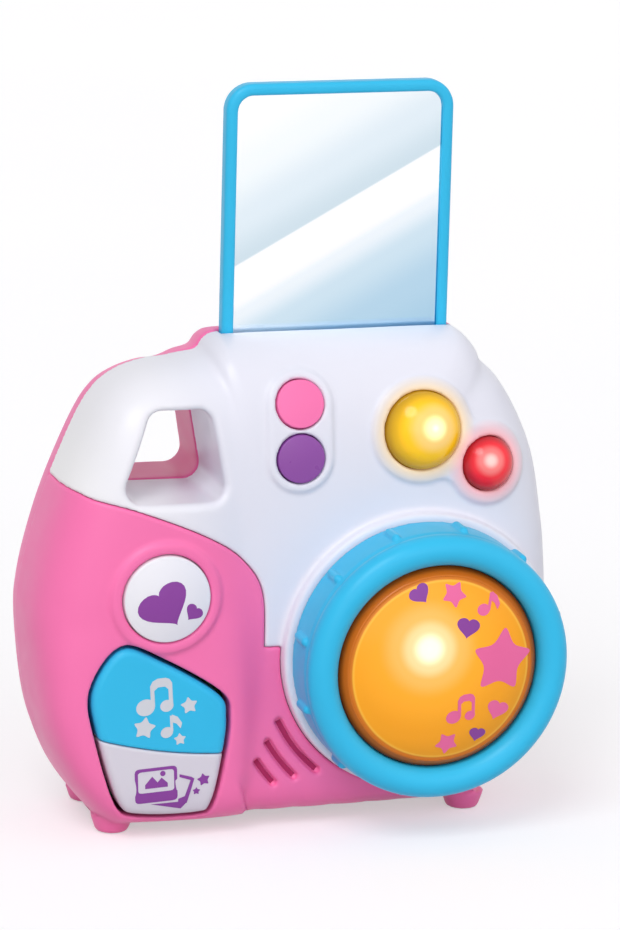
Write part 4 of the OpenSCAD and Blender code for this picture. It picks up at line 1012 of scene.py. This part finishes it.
def ring_profile():
    """Half section of the ring as (radius, depth), with a round nose."""
    start = COLLAR_FRONT + RING_BACK
    nose_low, nose_high = CAP_R + CAP_GAP, RING_R
    nose_r = (nose_high - nose_low) / 2
    front = -local_box("lens_ring")[0][1]
    nose_at = front - nose_r
    lip = COLLAR_FRONT + LIP_AT
    run_r = BEARING_R + RUN_GAP
    inner = [(BORE_R, start), (BORE_R, start + BORE_DEPTH), (run_r, start + BORE_DEPTH), (run_r, lip),
             (LIP_R, lip), (LIP_R, lip + LIP_T), (nose_low, lip + LIP_T), (nose_low, nose_at)]
    turns = np.radians(np.linspace(180, 0, NOSE_POINTS))[1:-1]
    middle = (nose_low + nose_high) / 2
    nose = [(middle + nose_r * math.cos(t), nose_at + nose_r * math.sin(t)) for t in turns]
    return np.array(inner + nose + [(nose_high, nose_at), (nose_high, start)])


def lens_ring():
    reach = RING_R + MARGIN
    front = -local_box("lens_ring")[0][1]
    grid = Grid((LENS_AT[0] - reach, -front - MARGIN, LENS_AT[1] - reach),
                (LENS_AT[0] + reach, -COLLAR_FRONT + 1.0, LENS_AT[1] + reach), RING_STEP)
    lens = from_axis(grid, LENS_AT)
    ring = polygon_distance(ring_profile(), lens, -grid.y + 0 * lens)
    line_r = RING_R + RING_LINE_R - RING_LINE_DEPTH
    line = np.hypot(lens - line_r, grid.y + COLLAR_FRONT + RING_LINE_AT) - RING_LINE_R
    ring = cut(ring, line, RING_LINE_EDGE)
    rib_low, rib_high = COLLAR_FRONT + RIB_SPAN[0] + RIB_R, COLLAR_FRONT + RIB_SPAN[1] - RIB_R
    along = np.maximum(np.maximum(rib_low + grid.y, -grid.y - rib_high), 0)
    for k in range(RIB_COUNT):
        turn = math.radians(RIB_TURN + 360 / RIB_COUNT * k)
        at = LENS_AT + (RING_R + RIB_LIFT) * np.array([math.cos(turn), math.sin(turn)])
        rib = np.sqrt(from_axis(grid, at) ** 2 + along ** 2) - RIB_R
        ring = join(ring, rib, RIB_FILLET)
    moulded("lens_ring_skin", ring, grid, "blue_plastic", "ring", "lens_ring")


def lens_dome():
    low, high = local_box("lens_cap")
    depth = -high[1]
    wall_top = CAP_FLANGE + CAP_WALL
    rim = [(0, 0), (CAP_FOOT_R, 0), (CAP_FOOT_R, CAP_FLANGE), (CAP_R, CAP_FLANGE), (CAP_R, wall_top)]
    bevel_top = wall_top + BEVEL_H
    dome = crown(DOME_R, bevel_top, -low[1] - depth - bevel_top, steps=24)
    profile = softened(rim + [(BEVEL_R, bevel_top)] + dome[:2], BEVEL_EDGE)[:-1] + dome[1:]
    spot = (np.array([LENS_AT[0], high[1], LENS_AT[1]]), TO_FRONT)
    turned("lens_dome", profile, spot, "amber_dome", "root", "lens_cap", DOME_SIDES)


lens_ring()
lens_dome()


# Lights and buttons

# Flange that holds a dome or button behind the wall, and the stem of a button
FLANGE_W = 1
FLANGE_LOW = -4.4
FLANGE_TOP = -3.2
FLANGE_EDGE = 0.3
STEM_R = 3


def flange_line(r):
    return [(r + FLANGE_W, FLANGE_LOW), (r + FLANGE_W, FLANGE_TOP), (r, FLANGE_TOP)]


def light_dome(name, node, spot, r, h, slot):
    dome = crown(r, PAD_RISE, h, steps=20)
    profile = softened([(0, FLANGE_LOW)] + flange_line(r) + dome[:2], FLANGE_EDGE)[:-1] + dome[1:]
    turned(name, profile, spot, slot, "root", node)


def push_button(name, node, spot, r, rise, crown_h, stem, edge, body, slot):
    foot = [(0, -stem), (STEM_R, -stem), (STEM_R, FLANGE_LOW)]
    cap = crown(r, PAD_RISE + rise, crown_h, steps=12)
    corner = softened([(r, FLANGE_TOP), cap[0], cap[1]], edge)[1:-1]
    top = [p for p in cap[1:] if p[0] < corner[-1][0]]
    turned(name, softened(foot + flange_line(r), FLANGE_EDGE) + corner + top, spot, slot, body, node)


light_dome("flash_dome_lens", "flash_dome", FLASH_SPOT, FLASH_R, 6.5, "yellow_dome")
light_dome("signal_dome_lens", "signal_dome", SIGNAL_SPOT, SIGNAL_R, 4.8, "red_dome")
push_button("heart_button_cap", "heart_button", HEART_SPOT, HEART_R, rise=0.6, crown_h=2.2,
            stem=12.4, edge=1.2, body="heart_key", slot="white_plastic")
push_button("pink_button_cap", "pink_button", PINK_SPOT, DOT_R, rise=0.3, crown_h=0.6,
            stem=4.9, edge=0.8, body="pink_key", slot="pink_plastic")
push_button("purple_button_cap", "purple_button", PURPLE_SPOT, DOT_R, rise=0.3, crown_h=0.6,
            stem=7.8, edge=0.8, body="purple_key", slot="purple_plastic")


# Rocker keys

SPLIT_TILT = math.radians(-9.5)
SPLIT_SAG = 1.6
SPLIT_GAP = 0.12
KEY_EDGE = 2.2
KEY_DEPTH = 24.0
KEY_MARGIN = 2


def rocker_key(name, node, side, slot, material=None):
    low = np.array([ROCKER_LINE[:, 0].min(), -GRIP_D - KEY_MARGIN, ROCKER_LINE[:, 1].min()])
    high = np.array([ROCKER_LINE[:, 0].max(), -KEY_DEPTH, ROCKER_LINE[:, 1].max()])
    grid = Grid(low - KEY_MARGIN, high + KEY_MARGIN, FINE_STEP)
    key_back = -local_box(node)[1][1]
    area = polygon_distance(ROCKER_LINE, grid.x, grid.z)
    half = (high[0] - low[0]) / 2
    across = (grid.x - ROCKER_AT[0]) / half
    line = ROCKER_AT[1] + (grid.x - ROCKER_AT[0]) * math.tan(SPLIT_TILT) - SPLIT_SAG * (1 - across ** 2)
    split = side * (line - grid.z) + SPLIT_GAP
    key = meet(swollen(grid, GRIP) - KEY_RISE, area, KEY_EDGE)
    key = meet(np.maximum(key, grid.y + key_back), split, SPLIT_EDGE)
    moulded(name, key, grid, slot, "rocker", node, material)


rocker_key("music_key_cap", "music_key", 1, "blue_plastic")
rocker_key("photo_key_cap", "photo_key", -1, "white_plastic", key_white_painted_shade)


# Mirror

FRAME_EDGE = 1.5
WINDOW_EDGE = 0.8
PANEL_GAP = 0.15
PANEL_EDGE = 0.4
PANEL_BORDER = 6.0
FIELD_DEPTH = 0.8
FIELD_EDGE = 0.5


def mirror_area(grid, inset, low):
    """Plate with round upper corners."""
    frame_low, frame_high = local_box("mirror_frame")
    middle = (frame_low[0] + frame_high[0]) / 2
    half = (frame_high[0] - frame_low[0]) / 2 - inset
    top = frame_high[2] - inset
    r = MIRROR_CORNER - inset
    plate = round_box(grid.x - middle, grid.z - top + half, half, half, r)
    return np.maximum(np.where(grid.z > top - half, plate, np.abs(grid.x - middle) - half), low - grid.z)


def mirror_frame():
    low, high = local_box("mirror_frame")
    front = local_box("mirror_sheet")[0][1] - BEZEL_T
    rear = high[1]
    grid = Grid((low[0] - MARGIN, front - MARGIN, low[2] - MARGIN), high + MARGIN, MIRROR_STEP)
    sheet_low = low[2] + MIRROR_BAR / 2
    middle, half = (front + rear) / 2, (rear - front) / 2
    frame_field = meet(mirror_area(grid, 0, low[2]), np.abs(grid.y - middle) - half, FRAME_EDGE)
    window = mirror_area(grid, MIRROR_BAR, BODY_H - WALL - 2 * SLIDE_GAP)
    frame_field = cut(frame_field, window, WINDOW_EDGE)
    pocket = np.maximum(mirror_area(grid, MIRROR_BAR / 2, sheet_low), front + BEZEL_T - grid.y)
    frame_field = np.maximum(frame_field, -pocket)
    moulded("mirror_frame_skin", frame_field, grid, "blue_plastic", "mirror", "mirror_frame")


def mirror_back():
    """Back panel with a shallow field inside its border."""
    low, high = local_box("mirror_back")
    grid = Grid(low - MARGIN, high + MARGIN, MIRROR_STEP)
    inset = MIRROR_BAR / 2 + PANEL_GAP
    slab = np.abs(grid.y - (low[1] + high[1]) / 2) - (high[1] - low[1]) / 2
    panel = meet(mirror_area(grid, inset, low[2]), slab, PANEL_EDGE)
    inner = mirror_area(grid, inset + PANEL_BORDER, BODY_H + PANEL_BORDER)
    field = np.maximum(inner, high[1] - FIELD_DEPTH - grid.y)
    moulded("mirror_back_skin", cut(panel, field, FIELD_EDGE), grid, "blue_plastic", "mirror", "mirror_back")


mirror_frame()
mirror_back()


# Screws and knob

# Rounded head, its cross recess, and how far below the head's top the shank ends
HEAD_EDGE = 0.4
CROSS_HALF = (0.45, 1.7)
CROSS_CORNER = 0.1
CROSS_DEPTH = 1.0
SHANK_IN = 1.2

# Plate and post of the knob, and the grooves across the post
PLATE_T = 1.4
PLATE_CORNER = 0.6
POST_HALF = 2.0
POST_CORNER = 0.5
POST_EDGE = 0.4
GROOVE_PITCH = 1.1
GROOVE_R = 0.35
GROOVE_EDGE = 0.1


def screws(name, node, spots, body):
    """Screws from the back, with round heads and cross recesses."""
    low, high = local_box(node)
    reach = HEAD_R + 1
    grid = Grid((-reach, low[1] - 1, -reach), (reach, high[1] + 1, reach), SCREW_STEP)
    rad = np.hypot(grid.x, grid.z)
    head = meet(rad - HEAD_R, np.maximum(grid.y - high[1], high[1] - HEAD_T - grid.y), HEAD_EDGE)
    upright = round_box(grid.x, grid.z, *CROSS_HALF, CROSS_CORNER)
    level_bar = round_box(grid.x, grid.z, *CROSS_HALF[::-1], CROSS_CORNER)
    cross = np.minimum(upright, level_bar)
    head = np.maximum(head, -np.maximum(cross, high[1] - CROSS_DEPTH - grid.y))
    shank = np.maximum(rad - SCREW_R, np.maximum(low[1] - grid.y, grid.y - high[1] + SHANK_IN))
    points, faces, normals = surface(np.minimum(head, shank), grid)
    count = len(points)
    all_points = np.concatenate([points + np.array([at[0], 0, at[1]]) for at in spots])
    all_faces = np.concatenate([faces + k * count for k in range(len(spots))])
    all_normals = np.tile(normals, (len(spots), 1))
    piece(name, all_points, all_faces, finishes["steel"], body, [node], all_normals)


def power_knob():
    """Slider with three grooves for a finger nail."""
    low, high = local_box("power_knob")
    grid = Grid(low - 1, high + 1, SCREW_STEP)
    u, v = grid.x - KNOB_AT[0], grid.z - KNOB_AT[1]
    plate = np.maximum(round_box(u, v, (high[0] - low[0]) / 2, (high[2] - low[2]) / 2, PLATE_CORNER),
                       np.maximum(low[1] - grid.y, grid.y - low[1] - PLATE_T))
    post = round_box(u, v, POST_HALF, POST_HALF, POST_CORNER)
    post = meet(post, np.maximum(low[1] - grid.y, grid.y - high[1]), POST_EDGE)
    for k in (-1, 0, 1):
        post = cut(post, np.hypot(u - k * GROOVE_PITCH, grid.y - high[1]) - GROOVE_R, GROOVE_EDGE)
    moulded("power_knob_skin", np.minimum(plate, post), grid, "dark_plastic", "knob", "power_knob")


screws("case_screw_set", "case_screws", SCREW_PLACES, "root")
screws("door_screw_steel", "door_screw", [EAR_AT], "door")
power_knob()


# Prints: thin closed shapes that lie on the piece under them

# Height over the piece with its small steps, depth below it, rings of a filled outline, spacing of its
# points, and the distance from which rays look for the piece
PRINT_LIFT = 0.08
LIFT_STEP = 0.03
LIFT_COUNT = 4
PRINT_DEPTH = 0.3
PRINT_RINGS = 5
PRINT_STEP = 0.7
AHEAD = 200.0


def rounded_loop(points, share=0.3, steps=4):
    """Closed outline with its corners rounded."""
    line = []
    for a, b, c in zip(np.roll(points, 1, axis=0), points, np.roll(points, -1, axis=0)):
        start, end = b + (a - b) * share, b + (c - b) * share
        for t in np.linspace(0, 1, steps):
            line.append((1 - t) ** 2 * start + 2 * t * (1 - t) * b + t ** 2 * end)
    return np.array(line)


def heart_line():
    turns = np.linspace(0, 2 * math.pi, 40, endpoint=False)
    x = 16 * np.sin(turns) ** 3
    z = 12.5 * np.cos(turns) - 3.6 * np.cos(2 * turns) - 1.5 * np.cos(3 * turns) - 0.6 * np.cos(4 * turns)
    return np.stack([x, z + 2.4], axis=1) / 32


def star_line():
    turns = np.radians(90 + 36 * np.arange(10))
    reach = np.where(np.arange(10) % 2, 0.27, 0.5)
    return rounded_loop(np.stack([reach * np.cos(turns), reach * np.sin(turns)], axis=1), 0.28)


def oval_line(at, half, turn):
    turns = np.linspace(0, 2 * math.pi, 24, endpoint=False)
    oval = np.stack([half[0] * np.cos(turns), half[1] * np.sin(turns)], axis=1)
    return np.array(at) + oval @ turned_by(turn)


def turned_by(turn):
    """Matrix that turns row vectors anticlockwise by degrees."""
    c, s = math.cos(math.radians(turn)), math.sin(math.radians(turn))
    return np.array([[c, s], [-s, c]])


HEART = [heart_line()]
STAR = [star_line()]
NOTE = [
    oval_line((-0.2, -0.22), (0.26, 0.22), 20),
    np.array([(-0.04, -0.2), (0.07, -0.2), (0.07, 0.46), (-0.04, 0.46)]),
    np.array([(0.05, 0.5), (0.05, 0.18), (0.22, 0.1), (0.38, -0.12), (0.45, 0.1), (0.28, 0.38)]),
]
DOUBLE_NOTE = [
    oval_line((-0.26, -0.2), (0.24, 0.21), 15),
    oval_line((0.28, -0.22), (0.17, 0.15), 15),
    np.array([(-0.12, -0.2), (-0.02, -0.2), (-0.02, 0.22), (-0.12, 0.22)]),
    np.array([(0.34, -0.2), (0.44, -0.2), (0.44, 0.22), (0.34, 0.22)]),
    np.array([(-0.12, 0.2), (-0.02, 0.2), (0.08, 0.28), (0.08, 0.5), (-0.05, 0.44), (-0.12, 0.32)]),
    np.array([(0.07, 0.28), (0.27, 0.28), (0.29, 0.5), (0.07, 0.5)]),
    np.array([(0.26, 0.28), (0.34, 0.2), (0.44, 0.2), (0.44, 0.36), (0.38, 0.46), (0.28, 0.5)]),
]
PICTURE = [
    np.array([(-0.34, -0.22), (0.34, -0.22), (0.34, -0.1), (0.16, 0.08), (0.04, -0.06), (-0.12, 0.14),
              (-0.34, -0.1)]),
    oval_line((0.2, 0.2), (0.08, 0.08), 0),
]
# Shares of a card's width: height, line and lower border; and of its sides: the round corners
CARD_H = 0.84
CARD_LINE = 0.075
CARD_FOOT = 0.25
CARD_ROUND = 0.12


def motif(lines, at, size, turn=0):
    """Lines of a unit motif at a place, with a size in millimetres and a turn in degrees."""
    return [np.array(at) + size * line @ turned_by(turn) for line in lines]


def card(at, size, turn):
    """Outer and inner line of a card with a deep lower border."""
    sides = ((0.5, CARD_H / 2, -CARD_H / 2),
             (0.5 - CARD_LINE, CARD_H / 2 - CARD_LINE, CARD_FOOT - CARD_H / 2))
    lines = []
    for w, high, low in sides:
        lines.append(rounded_loop(np.array([(-w, low), (w, low), (w, high), (-w, high)]), CARD_ROUND))
    return motif(lines, at, size, turn)


def fine_line(line):
    """The same outline, anticlockwise and in short steps."""
    x, z = line[:, 0], line[:, 1]
    if np.sum(x * np.roll(z, -1) - np.roll(x, -1) * z) < 0:
        line = line[::-1]
    points = []
    for a, b in zip(line, np.roll(line, -1, axis=0)):
        count = max(1, int(math.ceil(np.linalg.norm(b - a) / PRINT_STEP)))
        points.extend(a + (b - a) * k / count for k in range(count))
    return np.array(points)


def printed(name, host, lines, material, body, cards=()):
    """Print on the front of a piece, from filled outlines and from card frames."""
    tree = BVHTree.FromPolygons(*surfaces[host])
    points, faces, normals = [], [], []

    def lay(flat, lift):
        start = len(points)
        for x, z in flat:
            hit, normal = tree.ray_cast(Vector((x, -AHEAD, z)), Vector((0, 1, 0)))[:2]
            points.append((x, hit.y - lift, z))
            normals.append(tuple(normal if normal.y < 0 else -normal))
        return start

    def strip(a, b, n):
        faces.extend((a + k, a + (k + 1) % n, b + (k + 1) % n, b + k) for k in range(n))

    for k, line in enumerate(lines):
        # Neighbouring outlines lie at different heights, so that no two faces coincide
        extra = LIFT_STEP * (k % LIFT_COUNT)
        lift = PRINT_LIFT + extra
        line = fine_line(line)
        n, middle = len(line), line.mean(axis=0)
        rings = [lay(line, -PRINT_DEPTH)]
        for share in np.arange(PRINT_RINGS, 0, -1) / PRINT_RINGS:
            rings.append(lay(middle + (line - middle) * share, lift))
        for a, b in zip(rings, rings[1:]):
            strip(a, b, n)
        top, bottom = lay([middle], lift), lay([middle], -PRINT_DEPTH - extra)
        faces.extend((rings[-1] + k, rings[-1] + (k + 1) % n, top) for k in range(n))
        faces.extend((rings[0] + (k + 1) % n, rings[0] + k, bottom) for k in range(n))
    for outer, inner in cards:
        n = len(outer)
        sides = ((outer, -PRINT_DEPTH), (outer, PRINT_LIFT), (inner, PRINT_LIFT), (inner, -PRINT_DEPTH))
        rings = [lay(line, lift) for line, lift in sides]
        for a, b in zip(rings, rings[1:] + rings[:1]):
            strip(a, b, n)
    piece(name, points, faces, material, body, normals=np.array(normals))


# How far the sheet of painted shade keeps in from the sides of a slot
SLOT_SHADE_IN = 0.45


def slot_lines():
    """Outlines of the dark pink sheet of painted shade at the bottom of the sound slots."""
    lines = []
    half = SLOT_W / 2 - SLOT_SHADE_IN
    for i, span in enumerate(SLOT_SPANS):
        r = SLOT_FIRST_R + i * SLOT_PITCH
        first, last = np.radians([SLOT_TURN - span / 2, SLOT_TURN + span / 2])
        line = [(r + half, t) for t in np.linspace(first, last, 12)]
        line += [(r - half, t) for t in np.linspace(last, first, 12)]
        lines.append(LENS_AT + np.array([(s * math.cos(t), s * math.sin(t)) for s, t in line]))
    return lines


def from_heart(x, z):
    return HEART_AT + np.array([x, z])


CARD_AT = np.array([-47.6, 18.8])
CARD_BEHIND = [
    np.array([(7.3, 3.0), (7.3, 2.1), (10.9, 0.9), (11.9, 1.4), (11.2, 1.9)]),
    np.array([(10.9, 1.0), (12.0, 1.4), (9.9, -6.6), (8.6, -6.2)]),
    np.array([(-1.4, -6.3), (8.2, -8.4), (9.7, -6.6), (7.2, -6.0)]),
    np.array([(7.2, -5.0), (9.4, -4.2), (9.9, -6.6), (7.2, -6.4)]),
]

# Painted shade: a dark pink sheet lies on the floor of each sound slot
printed("slot_shade_sheet", "lower_shell_skin", slot_lines(), slot_shade_pink, "root")
printed("dome_print_pink", "lens_dome", (
    motif(STAR, (39.6, 79.8), 8.6, 40) + motif(NOTE, (51.0, 75.8), 8.0, -14)
    + motif(STAR, (55.2, 58.2), 22.0, -7) + motif(DOUBLE_NOTE, (42.3, 43.6), 10.0, 4)
    + motif(HEART, (54.4, 42.1), 7.6, -20) + motif(STAR, (38.6, 32.7), 8.0, 32)
), print_pink, "root")
printed("dome_print_purple", "lens_dome", (
    motif(HEART, (29.0, 80.0), 6.8, 35) + motif(HEART, (43.6, 69.2), 7.6, -12)
    + motif(HEART, (48.3, 34.6), 5.6, -12)
), print_purple, "root")
printed("heart_button_print", "heart_button_cap", (
    motif(HEART, from_heart(-0.8, -2.2), 16.4, 33) + motif(HEART, from_heart(7.6, -4.4), 6.2, -38)
), print_purple, "heart_key")
printed("music_key_print", "music_key_cap", (
    motif(DOUBLE_NOTE, (-48.4, 46.4), 12.4, 4) + motif(NOTE, (-43.2, 37.2), 7.6, 4)
    + motif(STAR, (-37.7, 43.6), 5.8, 10) + motif(STAR, (-51.7, 37.2), 7.6, -8)
    + motif(STAR, (-40.4, 33.0), 4.2, 6)
), print_grey, "rocker")
printed("photo_key_print", "photo_key_cap", (
    motif(PICTURE, CARD_AT + np.array([0, 1.4]), 10.5, 3) + motif(CARD_BEHIND, CARD_AT, 1.0)
    + motif(STAR, (-32.6, 19.6), 4.4, 12) + motif(STAR, (-34.8, 16.0), 2.6, 0)
), print_purple, "rocker", [card(CARD_AT, 13.4, 3)])


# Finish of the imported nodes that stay

slot_of = {}
for subpart in frame["record"]["subparts"]:
    slot_of[subpart["node"]] = subpart["material_slot"]
for node, packed in frame["nodes"].items():
    packed.data.materials.clear()
    packed.data.materials.append(finishes[slot_of[node]])


# Floor, light and camera

SKY_LEVEL = 0.41
FLOOR_LIFT = 0.47
FLOOR_HALF = 6.0
FLOOR_DROP = 0.0002


def seen_rays(tree):
    """Socket that is 1 for what the camera, a reflection or a clear piece sees, and 0 for light."""
    ray = tree.nodes.new("ShaderNodeLightPath")
    seen = ray.outputs["Is Camera Ray"]
    for other in ("Is Glossy Ray", "Is Transmission Ray"):
        both = tree.nodes.new("ShaderNodeMath")
        both.operation = "MAXIMUM"
        tree.links.new(seen, both.inputs[0])
        tree.links.new(ray.outputs[other], both.inputs[1])
        seen = both.outputs[0]
    return seen


def level(tree, source, low, high):
    made = tree.nodes.new("ShaderNodeMapRange")
    tree.links.new(source, made.inputs["Value"])
    made.inputs["To Min"].default_value = low
    made.inputs["To Max"].default_value = high
    return made.outputs["Result"]


def floor_finish():
    """Pale matt floor that reads as white and keeps the shadow."""
    made = Finish("floor", Roughness=0.7, Specular_IOR_Level=0.1, Emission_Color=(1.0, 1.0, 1.0, 1.0))
    stops = [(0.0, srgb(203, 202, 205)), (1.0, srgb(207, 206, 209))]
    made.set("Base Color", made.ramp(made.noise(3.0), stops))
    tree = made.material.node_tree
    made.set("Emission Strength", level(tree, seen_rays(tree), 0.0, FLOOR_LIFT))
    return made.material


def stage():
    half = FLOOR_HALF
    mesh = bpy.data.meshes.new("floor")
    corners = [(-half, -half, 0), (half, -half, 0), (half, half, 0), (-half, half, 0)]
    mesh.from_pydata(corners, [], [(0, 1, 2, 3)])
    mesh.materials.append(floor_finish())
    floor = bpy.data.objects.new("floor", mesh)
    floor.location.z = -FLOOR_DROP
    bpy.context.scene.collection.objects.link(floor)


def sun(name, azimuth, elevation, strength, softness):
    """Distant lamp; azimuth 0 shines from the front and 90 from the right."""
    data = bpy.data.lights.new(name, "SUN")
    data.energy = strength
    data.angle = math.radians(softness)
    made = bpy.data.objects.new(name, data)
    made.rotation_euler = (math.radians(90 - elevation), 0, math.radians(azimuth))
    bpy.context.scene.collection.objects.link(made)


def lighting():
    """Soft studio light: an even sky, white where it is seen, and a key from the upper left."""
    world = bpy.data.worlds.new("studio")
    world.use_nodes = True
    tree = world.node_tree
    background = tree.nodes["Background"]
    background.inputs["Color"].default_value = (1.0, 1.0, 1.0, 1.0)
    tree.links.new(level(tree, seen_rays(tree), SKY_LEVEL, 1.0), background.inputs["Strength"])
    bpy.context.scene.world = world
    sun("key", -38, 50, 1.15, 28)
    sun("front", -12, 18, 0.85, 60)
    sun("fill", 50, 30, 0.35, 60)


def camera():
    """Camera at the photograph's angle."""
    azimuth, elevation, roll = (math.radians(a) for a in (17.3, 14.0, 1.5))
    focal_px, px_per_mm, image_h = 5000.0, 3.17, 930.0
    target = Vector((17.1, 39.65, 102.3)) * MM
    right = Vector((math.cos(azimuth), -math.sin(azimuth), 0))
    flat = math.cos(elevation)
    ahead = Vector((math.sin(azimuth) * flat, math.cos(azimuth) * flat, -math.sin(elevation)))
    up = right.cross(ahead)
    data = bpy.data.cameras.new("camera")
    data.sensor_fit = "VERTICAL"
    data.sensor_height = 36.0
    data.lens = focal_px * data.sensor_height / image_h
    made = bpy.data.objects.new("camera", data)
    axis_x = right * math.cos(roll) + up * math.sin(roll)
    axis_y = up * math.cos(roll) - right * math.sin(roll)
    turn = Matrix((axis_x, axis_y, -ahead)).transposed()
    made.matrix_world = Matrix.Translation(target - ahead * (focal_px / px_per_mm * MM)) @ turn.to_4x4()
    bpy.context.scene.collection.objects.link(made)
    bpy.context.scene.camera = made


stage()
lighting()
camera()
bpy.context.scene.view_settings.view_transform = "Standard"
